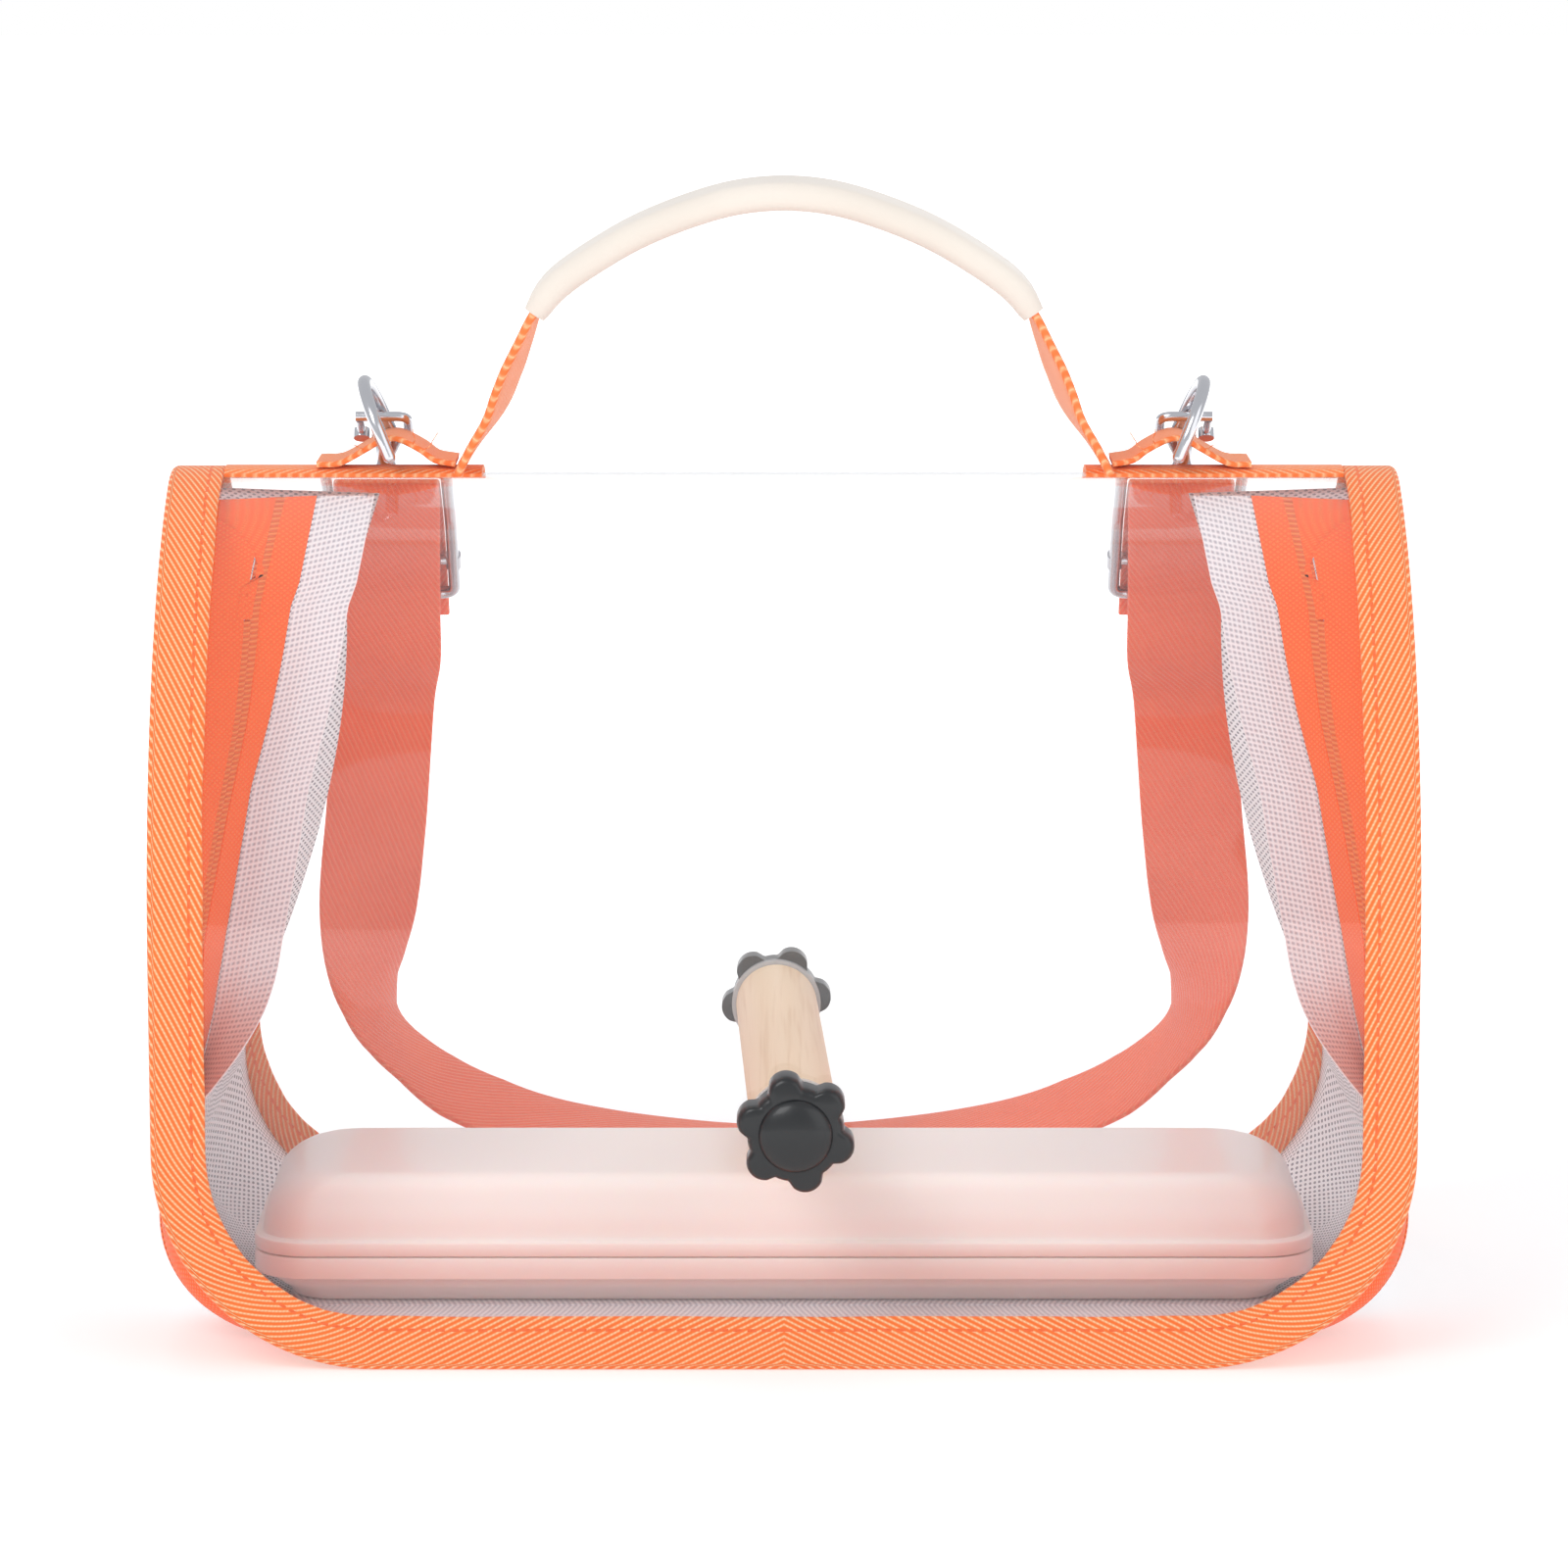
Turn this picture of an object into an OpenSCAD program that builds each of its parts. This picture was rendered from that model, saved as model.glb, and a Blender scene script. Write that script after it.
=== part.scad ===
// Bird travel carrier: arched bag of clear film with mesh sides, zip front, perch and box

/* [Bag] */
// Width across the front, over the binding
bag_w = 285; // [240:1:340]
// Depth between the outer faces of the front and back sheets
bag_d = 150; // [130:1:180]
// Height at which the straight walls turn into the arch
wall_h = 93; // [80:1:110]
// Radius of the two arcs of the arch
arch_r = 110; // [100:1:130]
// Radius of the rounded crown
crown_r = 25; // [20:1:35]
// Radius of the two lower corners of the front
corner_r = 50; // [35:1:60]
// Thickness of the clear film
sheet_t = 0.8; // [0.5:0.1:1.5]
// Where the front sheet bends when it is opened, in front of the crown
hinge_y = -14; // [-20:0.5:-13]

/* [Binding and zip] */
// Width of each leg of the edge binding
bind_w = 12.5; // [9:0.5:16]
// Thickness of the edge binding
bind_t = 1.2; // [0.8:0.1:2]
// Thickness of the zip tape and side mesh
tape_t = 1; // [0.6:0.1:1.5]
// Width of one half of the zip coil
coil_w = 2.5; // [1.5:0.1:3.5]
// Width of the white tape on the inside seam
flange_w = 13; // [8:0.5:14]
// Depth of the inward fold of each side
fold_depth = 38; // [20:1:44]
// Radius of the lower corners behind the binding
band_r = 28; // [24:1:36]

/* [Top] */
// Width of the webbing
web_w = 25; // [20:1:26]
// Thickness of the top strap
web_t = 1.4; // [1:0.1:2]
// Thickness of the soft grip sleeve
grip_t = 6.6; // [5:0.2:9]
// Distance of each ring from the middle
ring_x = 91; // [85:1:96]
// Thickness of the ring wire
ring_wire = 3; // [2:0.2:3.4]
// Outward lean of the rings
ring_lean = 22; // [0:1:30]

/* [Perch] */
// Diameter of the wooden perch
perch_d = 20; // [12:0.5:24]
// Sideways place of the front end
perch_x_front = 2.6; // [-10:0.1:10]
// Sideways place of the back end
perch_x_back = -1.9; // [-10:0.1:10]
// Height of the front end
perch_z_front = 56; // [50:0.5:90]
// Height of the back end
perch_z_back = 54; // [50:0.5:90]
// Radius of the star knobs over the lobes
knob_r = 13.6; // [10:0.2:18]
// Turn of the front and back knobs, seen from the front
front_turn = 43; // [0:1:59]
back_turn = 7; // [0:1:59]
// Diameter of the threaded studs
stud_d = 5; // [3:0.5:6]

/* [Box] */
// Room between the box rim and each side of the bag
box_gap = 18.5; // [16.5:0.5:50]
// Depth of the box rim
box_d = 65; // [40:1:80]
// Top of the closed lid
box_top = 33.8; // [28:0.2:44]
// Corner radius of the box rim in plan
box_r = 13; // [6:0.5:20]
// Wall thickness of the box
box_wall = 1.6; // [1.2:0.1:3]

/* [Hidden] */
$fn = 48;
half_w = bag_w / 2;
arc_c = arch_r - bag_d / 2;
crown_cz = wall_h + sqrt(pow(arch_r - crown_r, 2) - pow(arc_c, 2));
crown_a = atan2(arc_c, crown_cz - wall_h);
floor_z = 3;
fold_y = 3;
cut_gap = 0.2;
arc_n = 20;
// Heights of the wall and the top at which the tables and stations below are drawn
drawn = [93, 195.46];
top_z = crown_cz + crown_r;
top_shift = top_z - drawn[1];
back_shift = bag_d / 2 - 75;
handle_z = 203 + top_shift;
// Radius about the handle's fold line at which its feet end
foot_r = 17.4;
// Middle of the depth, from the front knob to the shoulder strap
mid_y = 12.75;
box_split = 15.5;
box_w = bag_w - 2 * box_gap;
// How far each stud goes into the perch and stands out of the film
stud_in = 22;
stud_out = 8.4;
loop_x = -94;
// Half the height of the zip coil, and half the gap between its two rows
coil_h = 1.1;
coil_gap = 0.06;
// Thickness of the handle's webbing, and how far the grip stands out at each side of it
handle_t = 2;
grip_side = 1.5;
// Diameters of the clear washers and the brass inserts
washer_d = 22;
washer_t = 0.8;
insert_d = 8;
insert_h = 8;
// Radius of each of the six lobes of a knob
lobe_r = 4.1;
// Thickness of the shoulder strap, and the wire of its loops
strap_t = 1.5;
loop_wire = 3;

orange = [0.98, 0.55, 0.28];
film = [0.9, 0.93, 0.94, 0.35];
white = [0.88, 0.87, 0.88];
steel = [0.7, 0.7, 0.72];

// Side profile of the bag, seen along the width

function arc_pts(cy, cz, r, a0, a1, n) =
    [for (k = [0:n]) [cy + r * cos(a0 + (a1 - a0) * k / n), cz + r * sin(a0 + (a1 - a0) * k / n)]];

function profile(i) = concat(
    [[-bag_d / 2 + i, -10]],
    arc_pts(arc_c, wall_h, arch_r - i, 180, 90 + crown_a, arc_n),
    arc_pts(0, crown_cz, crown_r - i, 85 + crown_a, 95 - crown_a, 8),
    arc_pts(-arc_c, wall_h, arch_r - i, 90 - crown_a, 0, arc_n),
    [[bag_d / 2 - i, -10]]);

function reversed(a) = [for (k = [len(a) - 1:-1:0]) a[k]];

module along_x(x0, x1) {
    translate([x0, 0, 0]) rotate([90, 0, 90]) linear_extrude(x1 - x0) children();
}

module along_y(y0, y1) {
    translate([0, y1, 0]) rotate([90, 0, 0]) linear_extrude(y1 - y0) children();
}

module shell_ring(i0, i1, x0 = -160, x1 = 160) {
    along_x(x0, x1) polygon(concat(profile(i0), reversed(profile(i1))));
}

// Front outline of the bag, seen along the depth

function outline(i, top = 230) = concat(
    [[-half_w + i, top]],
    arc_pts(-half_w + corner_r, corner_r, corner_r - i, 180, 270, 12),
    arc_pts(half_w - corner_r, corner_r, corner_r - i, 270, 360, 12),
    [[half_w - i, top]]);

module front_half() {
    translate([-200, -120, -20]) cube([400, 120 + hinge_y, 260]);
}

module back_half() {
    translate([-200, hinge_y + cut_gap, -20]) cube([400, 150, 260]);
}

module film_all() {
    intersection() {
        shell_ring(0, sheet_t);
        along_y(-90, 90) polygon(outline(bind_t));
    }
}

module binding_all() {
    intersection() {
        shell_ring(-bind_t, 0);
        along_y(-90, 90) polygon(concat(outline(0), reversed(outline(bind_w))));
    }
    intersection() {
        shell_ring(-bind_t, bind_w);
        along_y(-90, 90) polygon(concat(outline(0), reversed(outline(bind_t))));
    }
}

// Points on the folded side and bottom band.
// A station is [height, -1], [corner angle, -2] or [sideways place, -3].
// q runs 0 to 1 from the front binding to the fold and 1 to 2 from the fold to the back.

zip_table = [[0, 0.298], [52, 0.292], [93, 0.278], [120, 0.35], [140, 0.42], [160, 0.46], [190, 0.49]];
seam_table = [[0, 0.542], [52, 0.52], [80, 0.47], [93, 0.47], [112, 0.49], [125, 0.507],
              [140, 0.58], [157, 0.65], [170, 0.7], [190, 0.69]];

function unit01(v) = min(max(v, 0), 1);
function mix(a, b, t) = a + (b - a) * t;
function real_z(z) = z <= drawn[0] ? z * wall_h / drawn[0]
    : wall_h + (z - drawn[0]) * (top_z - wall_h) / (drawn[1] - drawn[0]);
function drawn_z(z) = z <= wall_h ? z * drawn[0] / wall_h
    : drawn[0] + (z - wall_h) * (drawn[1] - drawn[0]) / (top_z - wall_h);
function fold(z) =
    let (h = drawn_z(z)) h < 35 ? 0 : fold_depth * sin(90 * unit01((h - 35) / 125)) + 8 * unit01((h - 165) / 25);
function near(q) = unit01(q / 0.19);
function rear(q) = unit01((q - 1.45) / 0.37);
function swell(z) = 1.4 * (1 - unit01((z - corner_r) / 25));
function band_hw(q, z) =
    half_w + swell(z) * near(q) * (1 - rear(q)) - 6.7 * rear(q) * unit01((drawn[1] - drawn_z(z)) / 20);
function band_rad(q) = mix(mix(corner_r, band_r, near(q)), corner_r - 8, rear(q));
function lift(q) = 0.3 * near(q);
function y_at(i, z) = z <= wall_h ? -bag_d / 2 + i : arc_c - sqrt(pow(arch_r - i, 2) - pow(z - wall_h, 2));
function start_i(z) = bind_w - 11 * unit01((drawn_z(z) - 150) / 40);
function arm_y(z) = y_at(start_i(z), z);
function band_y(q, z) =
    q < 0 ? y_at(start_i(z) * (1 + 0.45 * q / 0.085), z)
    : q <= 1 ? mix(arm_y(z), fold_y, q)
    : mix(fold_y, -y_at(sheet_t, z) - 0.02, q - 1);
function band_fold(q, z) = fold(z) * (q < 0 ? 0 : q <= 1 ? q : 2 - q);
function level(st) = st[1] == -1 ? st[0] : 0;

function band(st, q, d) =
    st[1] == -1 ? [-band_hw(q, st[0]) + bind_t + d + band_fold(q, st[0]), band_y(q, st[0]), st[0]]
    : st[1] == -2 ? [-(band_hw(q, 0) - band_rad(q)) - (band_rad(q) - bind_t - d) * cos(st[0]), band_y(q, 0),
                     band_rad(q) + lift(q) - (band_rad(q) - bind_t - d) * sin(st[0])]
    : [st[0], band_y(q, 0), bind_t + lift(q) + d];

function zip_q(z) = lookup(drawn_z(z), zip_table);
function seam_q(z) = lookup(drawn_z(z), seam_table);
function arm_len(z) = sqrt(pow(fold_y - arm_y(z), 2) + pow(fold(z), 2));
function cut_q(z, y) = (y - arm_y(z)) / (fold_y - arm_y(z));

corner_st = [for (a = [0, 15, 30, 45, 60, 75, 82.5, 90]) [a, -2]];
floor_st = [[-60, -3], [0, -3]];
side_st = concat([for (z = [190, 178, 168, 160, 148, 136, 122, 108, 100, 80, 64]) [real_z(z), -1]],
                 [[corner_r + 2, -1]]);
flap_st = concat([for (z = [183, 176]) [real_z(z), -1]], [for (k = [2:11]) side_st[k]], corner_st, floor_st);
whole_st = concat(side_st, corner_st, floor_st);

// A closed solid between two grids of points

module between(a, b) {
    n = len(a);
    k = len(a[0]);
    s = cross(a[0][1] - a[0][0], a[1][0] - a[0][0]) * (a[0][0] - b[0][0]) > 0;
    m = n * k;
    quads = concat(
        [for (i = [0:n - 2]) for (j = [0:k - 2]) [i * k + j, (i + 1) * k + j, (i + 1) * k + j + 1, i * k + j + 1]],
        [for (i = [0:n - 2]) for (j = [0:k - 2])
            [m + i * k + j, m + i * k + j + 1, m + (i + 1) * k + j + 1, m + (i + 1) * k + j]],
        [for (i = [0:n - 2]) [i * k, m + i * k, m + (i + 1) * k, (i + 1) * k]],
        [for (i = [0:n - 2]) [i * k + k - 1, (i + 1) * k + k - 1, m + (i + 1) * k + k - 1, m + i * k + k - 1]],
        [for (j = [0:k - 2]) [j, j + 1, m + j + 1, m + j]],
        [for (j = [0:k - 2]) [(n - 1) * k + j, m + (n - 1) * k + j, m + (n - 1) * k + j + 1, (n - 1) * k + j + 1]]);
    tris = [for (f = quads) for (t = [[f[0], f[1], f[2]], [f[0], f[2], f[3]]]) s ? t : [t[2], t[1], t[0]]];
    polyhedron(points = concat([for (r = a) for (p = r) p], [for (r = b) for (p = r) p]), faces = tris);
}

module both_sides() {
    children();
    mirror([1, 0, 0]) children();
}

function grid(sts, qs, d) = [for (k = [0:len(sts) - 1]) [for (q = qs[k]) band(sts[k], q, d)]];

// Film and binding

module front_sheet() {
    color(film) difference() {
        intersection() {
            film_all();
            front_half();
        }
        front_place() translate([0, 0, -15]) cylinder(h = 30, d = stud_d + 3);
    }
}

module back_sheet() {
    color(film) difference() {
        intersection() {
            film_all();
            back_half();
        }
        back_place() translate([0, 0, -15]) cylinder(h = 30, d = stud_d);
    }
}

module front_binding() {
    color(orange) intersection() {
        binding_all();
        front_half();
    }
}

module back_binding() {
    color(orange) intersection() {
        binding_all();
        back_half();
    }
}

// Zip

function flap_end(st) = min(zip_q(level(st)) - coil_w / arm_len(level(st)),
                            drawn_z(level(st)) > 150 ? cut_q(level(st), hinge_y) : 1);

module zip_tape_front() {
    qs = [for (st = flap_st) [-0.085, 0, 0.19, flap_end(st)]];
    color(orange) both_sides() between(grid(flap_st, qs, 0), grid(flap_st, qs, tape_t));
}

module zip_tape_rear() {
    qs = [for (st = whole_st) [zip_q(level(st)) + coil_w / arm_len(level(st)), seam_q(level(st))]];
    top = [for (z = [190, 178, 171]) [real_z(z), -1]];
    qt = [for (st = top) [max(-0.05, cut_q(level(st), hinge_y + cut_gap)),
                          zip_q(level(st)) - coil_w / arm_len(level(st))]];
    color(orange) both_sides() {
        between(grid(whole_st, qs, 0), grid(whole_st, qs, tape_t));
        between(grid(top, qt, 0), grid(top, qt, tape_t));
    }
}

coil_st = concat([for (z = [163, 156]) [real_z(z), -1]], [for (k = [4:11]) side_st[k]], corner_st, floor_st);

module zip_coil_front() {
    qs = [for (st = coil_st) [zip_q(level(st)) - coil_w / arm_len(level(st)),
                              zip_q(level(st)) - coil_gap / arm_len(level(st))]];
    color(orange) both_sides() between(grid(coil_st, qs, -coil_h), grid(coil_st, qs, coil_h));
}

module zip_coil_rear() {
    qs = [for (st = whole_st) [zip_q(level(st)) + coil_gap / arm_len(level(st)),
                               zip_q(level(st)) + coil_w / arm_len(level(st))]];
    color(orange) both_sides() between(grid(whole_st, qs, -coil_h), grid(whole_st, qs, coil_h));
}

function zip_at(z) = band([z, -1], zip_q(z), -coil_h);
function zip_tilt(za, zb) = atan2(zip_at(zb)[0] - zip_at(za)[0], zb - za);
function arm_turn(z) = atan2(fold(z), fold_y - arm_y(z));

// A slider stands at drawn height h, along the line of the zip between drawn heights ha and hb
module slider_place(h, ha, hb) {
    z = real_z(h);
    translate([-zip_at(z)[0], zip_at(z)[1], z])
        rotate([0, -zip_tilt(real_z(ha), real_z(hb)), arm_turn(z)]) children();
}

module upper_place() {
    slider_place(80, 80, 100) children();
}

module lower_place() {
    slider_place(64, 52, 64) children();
}

module slider() {
    translate([0.45, -4, -4]) cube([1.3, 8, 8]);
    translate([-0.5, 2.9, -4]) cube([1, 1.1, 8]);
    translate([1.7, -0.8, -1.5]) cube([1.9, 1.6, 3]);
    translate([2.6, 2.4, 0]) rotate([90, 0, 0]) cylinder(h = 4.8, d = 1, $fn = 24);
}

module pull() {
    difference() {
        union() {
            translate([2, -2.4, -10]) cube([1.2, 4.8, 8]);
            for (s = [-1, 1]) {
                translate([2, s * 1.7 - 0.6, -3]) cube([1.2, 1.2, 3]);
                translate([2.6, s * 1.7 + 0.6, 0]) rotate([90, 0, 0]) cylinder(h = 1.2, d = 1.6, $fn = 24);
            }
        }
        translate([2.6, 3, 0]) rotate([90, 0, 0]) cylinder(h = 6, d = 1.1, $fn = 24);
    }
}

module zip_slider_upper() {
    color(steel) upper_place() slider();
}

module zip_slider_lower() {
    color(steel) lower_place() slider();
}

module zip_pull_upper() {
    color(steel) upper_place() pull();
}

module zip_pull_lower() {
    color(steel) lower_place() pull();
}

// Seam tape, side mesh and floor

function inward(st) = st[1] == -1 ? [1, 0, 0] : st[1] == -2 ? [cos(st[0]), 0, sin(st[0])] : [0, 0, 1];
function turn(st) = st[1] == -1 ? 90 * (1 - unit01((st[0] - 50) / 35)) : 90;
function lay_dir(st) = cos(turn(st)) * inward(st) - sin(turn(st)) * [0, 1, 0];
// Gap under the white tape, none where it lies under the box
function seam_gap(st) = 0.3 * cos(turn(st));
function up_dir(st) = sin(turn(st)) * inward(st) + cos(turn(st)) * [0, 1, 0];

module seam_tape() {
    a = [for (st = whole_st) [for (w = [0, flange_w / 2, flange_w])
        band(st, seam_q(level(st)), tape_t + seam_gap(st)) + lay_dir(st) * w]];
    b = [for (st = whole_st) [for (w = [0, flange_w / 2, flange_w])
        band(st, seam_q(level(st)), tape_t + seam_gap(st)) + lay_dir(st) * w + up_dir(st) * 0.5]];
    color(white) both_sides() between(a, b);
}

module mesh_side() {
    sts = concat(side_st, corner_st);
    qs = [for (st = sts) [seam_q(level(st)), 0.8, 1, 1.25, 1.45, 1.6, 1.82, 2]];
    between(grid(sts, qs, 0), grid(sts, qs, tape_t));
}

module mesh_left() {
    color(white) mesh_side();
}

module mesh_right() {
    color(white) mirror([1, 0, 0]) mesh_side();
}

module floor_panel() {
    sts = concat([[90, -2]], floor_st);
    qs = [for (st = sts) [0.542, 1, 1.45, 1.82, 2]];
    color(white) both_sides()
        between(grid(sts, qs, 0), grid(sts, qs, floor_z - bind_t - lift(1)));
}

// Top strap, ring loops and handle

module dome(i) {
    along_x(-150, 150) polygon(profile(i));
}

// The top strap ends at the foot of the handle, this far from the middle
strap_end = 70;

module top_strap() {
    color(orange) intersection() {
        both_sides() shell_ring(-web_t, 0, -half_w + bind_w + 0.2, -strap_end);
        translate([-150, -web_w / 2, 150]) cube([300, web_w, 80]);
    }
}

// Outline of a strip of even thickness along a line of points
function strip_dir(p, k) =
    let (a = p[max(k - 1, 0)], b = p[min(k + 1, len(p) - 1)], v = b - a) [-v[1], v[0]] / norm(v);
function strip(p, t) = concat([for (k = [0:len(p) - 1]) p[k] + strip_dir(p, k) * t / 2],
                              [for (k = [len(p) - 1:-1:0]) p[k] - strip_dir(p, k) * t / 2]);

hump = [[-107, 197.6], [-103, 197.9], [-97.5, 200.8], [-93.5, 203.1], [-91, 203.7], [-88.5, 203.2],
        [-84, 200.8], [-81, 198.6], [-77.5, 197.9]];

module ring_loops() {
    color(orange) both_sides() difference() {
        translate([0, 0, top_shift]) along_y(-web_w / 2, web_w / 2) {
            polygon(strip(hump, web_t));
            polygon([[-107, 197.5], [-107, 190], [-101.5, 190], [-101.5, 197.5], [-103, 197.6]]);
            polygon([[-82, 198.2], [-82, 190], [-77.5, 190], [-77.5, 197.9], [-81, 198.4]]);
        }
        dome(-web_t);
    }
}

handle_half = [[-75.4, 194], [-74.6, 197.4], [-71.9, 202], [-67.3, 209], [-63.8, 217.5], [-60.3, 226],
               [-57.4, 233], [-53.4, 238.4], [-46.4, 243.8], [-35, 250.6], [-23.2, 255.6], [-11.5, 259]];
handle_line = concat(handle_half, [[0, 260.1]], [for (k = [11:-1:0]) [-handle_half[k][0], handle_half[k][1]]]);
grip_line = [for (k = [6:18]) handle_line[k]];

module handle_cut(r) {
    translate([-90, 0, handle_z]) rotate([0, 90, 0]) cylinder(h = 180, r = r, $fn = 72);
}

module handle_feet() {
    color(orange) difference() {
        intersection() {
            translate([0, 0, top_shift]) along_y(-web_w / 2, web_w / 2) polygon(strip(handle_line, handle_t));
            handle_cut(foot_r);
        }
        dome(-web_t);
    }
}

module handle_webbing() {
    color(orange) difference() {
        translate([0, 0, top_shift]) along_y(-web_w / 2, web_w / 2) polygon(strip(handle_line, handle_t));
        handle_cut(foot_r + 0.3);
    }
}

module handle_grip() {
    color([0.93, 0.9, 0.86]) translate([0, 0, top_shift]) difference() {
        along_y(-web_w / 2 - grip_side, web_w / 2 + grip_side) polygon(strip(grip_line, grip_t));
        along_y(-web_w / 2, web_w / 2) polygon(strip(handle_line, handle_t));
    }
}

// Metal hardware

module rod(p, q, d) {
    v = q - p;
    translate(p) rotate([0, acos(v[2] / norm(v)), atan2(v[1], v[0])]) cylinder(h = norm(v), d = d, $fn = 32);
}

module chain(points, d) {
    for (k = [0:len(points) - 2]) rod(points[k], points[k + 1], d);
    for (k = [1:len(points) - 2]) translate(points[k]) sphere(d = d, $fn = 32);
}

ring_z = 200.4 + top_shift;
ring_y = 14.2;
ring_leg = 3;

module d_ring() {
    translate([-ring_x, 0, ring_z]) rotate([0, -ring_lean, 0]) {
        chain([[0, -ring_y, ring_leg], [0, -ring_y, 0], [0, ring_y, 0], [0, ring_y, ring_leg]], ring_wire);
        translate([0, 0, ring_leg]) rotate([90, 0, 90]) rotate_extrude(angle = 180, $fn = 64)
            translate([ring_y, 0]) circle(d = ring_wire, $fn = 32);
    }
}

module d_ring_left() {
    color(steel) d_ring();
}

module d_ring_right() {
    color(steel) mirror([1, 0, 0]) d_ring();
}

// The hook goes round the rear leg of the ring, in a plane tilted back from upright
hook_rise = 4.6;
hook_wire = 2.4;
hook_in = 5.6;
hook_half = 4.7;
// How far the hook's post reaches past the bar that it turns on
post_end = 2.2;
// How far the post rises past the middle of the hook's base
post_top = 0.4;
hook_tilt = 58;
hook_c = [-ring_x - hook_rise * sin(ring_lean) - 1, ring_y, ring_z + hook_rise * cos(ring_lean)];
function hook_pt(x, u) = hook_c + [x, -u * sin(hook_tilt), u * cos(hook_tilt)];

// Point over the back arch at depth y, a given distance off the film
function over_back(y, off) =
    let (a = acos((y + arc_c) / arch_r))
    [-arc_c + (arch_r + off) * cos(a), wall_h + (arch_r + off) * sin(a)];
function at_x(x, yz) = [x, yz[0], yz[1]];

bar_a = over_back(17.6, 4);
bar_k = over_back(37, 3.5);
bar_m = over_back(47.5, 3.5);
bar_b = over_back(54.5, 3.6);
loop_half = 14.25;

module snap_hooks() {
    post = hook_pt(0, -hook_half) - at_x(hook_c[0], bar_a);
    up = post / norm(post);
    color(steel) both_sides() {
        rod(hook_pt(-hook_in - 1, hook_half), hook_pt(hook_in + 1.1, hook_half), hook_wire);
        rod(hook_pt(hook_in, hook_half + 1.1), hook_pt(hook_in, -hook_half - 1.1), hook_wire - 0.2);
        rod(hook_pt(hook_in + 1.1, -hook_half), hook_pt(-hook_in + 2.4, -hook_half), hook_wire);
        difference() {
            rod(at_x(hook_c[0], bar_a) - up * post_end, hook_pt(0, -hook_half) + up * post_top, 5);
            translate(at_x(hook_c[0] - 10, bar_a)) rotate([0, 90, 0]) cylinder(h = 20, d = 3.2, $fn = 32);
        }
    }
}

module snap_gate() {
    intersection() {
        union() {
            rod(hook_pt(-hook_in, -hook_half), hook_pt(-hook_in, hook_half - 1.5), 2);
            translate(hook_pt(-hook_in, -hook_half)) rotate([hook_tilt - 90, 0, 0])
                cylinder(h = 2.4, d = 3.8, center = true, $fn = 32);
        }
        translate(hook_pt(-hook_in, 0)) cube([6, 40, 40], center = true);
    }
}

module snap_gate_left() {
    color(steel) snap_gate();
}

module snap_gate_right() {
    color(steel) mirror([1, 0, 0]) snap_gate();
}

module strap_loops() {
    over = (bar_k - bar_a) / norm(bar_k - bar_a) * 1.3;
    down = (bar_b - bar_k) / norm(bar_b - bar_k) * 1.3;
    color(steel) both_sides() {
        for (e = [-loop_half, loop_half]) {
            rod(at_x(loop_x + e, bar_a - over), at_x(loop_x + e, bar_k + over), 2.8);
            rod(at_x(loop_x + e, bar_k - down), at_x(loop_x + e, bar_b + down), 2.7);
        }
        for (p = [bar_a, bar_b])
            rod(at_x(loop_x - loop_half - 1.4, p), at_x(loop_x + loop_half + 1.4, p), loop_wire);
        rod(at_x(loop_x - loop_half, bar_m), at_x(loop_x + loop_half, bar_m), 2.4);
    }
}

// Shoulder strap as a ribbon: centre point and direction of its width

strap_line = concat(
    [for (p = [[59, 5.9], [50, 5.9], [40, 5.5], [30, 4.8], [24.5, 4.2]]) [at_x(loop_x, over_back(p[0], p[1])), [1, 0, 0]]],
    [[at_x(loop_x, over_back(21.7, 3.3)), [1, 0, 0]], [at_x(loop_x, over_back(21.2, 2.3)), [1, 0, 0]],
     [at_x(loop_x, over_back(22.2, 1.4)), [1, 0, 0]]],
    [for (p = [[25, 1.2], [33, 1.2], [41, 1.2], [49, 1.2], [57, 1.3], [64, 1.8]])
        [at_x(loop_x - (p[0] - 25) * 0.06, over_back(p[0], p[1])), [1, 0, 0]]],
    [for (p = [
     [[-98.5, 77, 131], [1, 0, 0]], [[-99.8, 80, 116], [1, 0, 0]], [[-101, 82, 101], [1, 0, 0]],
     [[-102.5, 84, 87], [1, 0.05, 0]], [[-103.6, 86, 76], [0.95, 0.3, 0]], [[-104.3, 88, 64], [0.8, 0.6, 0]],
     [[-103.6, 90, 53.5], [0.6, 0.8, 0]], [[-100.5, 92, 43.5], [0.5, 0.85, 0.15]],
     [[-94.5, 94, 35], [0.5, 0.8, 0.35]], [[-85, 96, 28.5], [0.35, 0.8, 0.5]], [[-72, 98, 23.5], [0.2, 0.85, 0.5]],
     [[-58, 99, 19.5], [0.1, 0.9, 0.42]], [[-40, 100, 16], [0.05, 0.95, 0.3]], [[-20, 100, 13.6], [0, 1, 0.15]],
     [[0, 100, 12.8], [0, 1, 0]]]) [p[0] + [0, back_shift, 0], p[1]]]);

function ribbon_n(p, k) =
    let (v = p[min(k + 1, len(p) - 1)][0] - p[max(k - 1, 0)][0], c = cross(v, p[k][1])) c / norm(c);
function ribbon(p, w, t, s) = [for (k = [0:len(p) - 1])
    [for (e = [-1, 0, 1]) p[k][0] + p[k][1] / norm(p[k][1]) * e * w / 2 + ribbon_n(p, k) * s * t / 2]];

// The last point lies in the middle, so its width has no lean
function even_end(r) = [for (k = [0:len(r) - 1]) k < len(r) - 1 ? r[k] : [for (p = r[k]) [0, p[1], p[2]]]];

module shoulder_strap() {
    color(orange) both_sides() between(even_end(ribbon(strap_line, web_w, strap_t, 1)),
                                       even_end(ribbon(strap_line, web_w, strap_t, -1)));
}

// Perch

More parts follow.
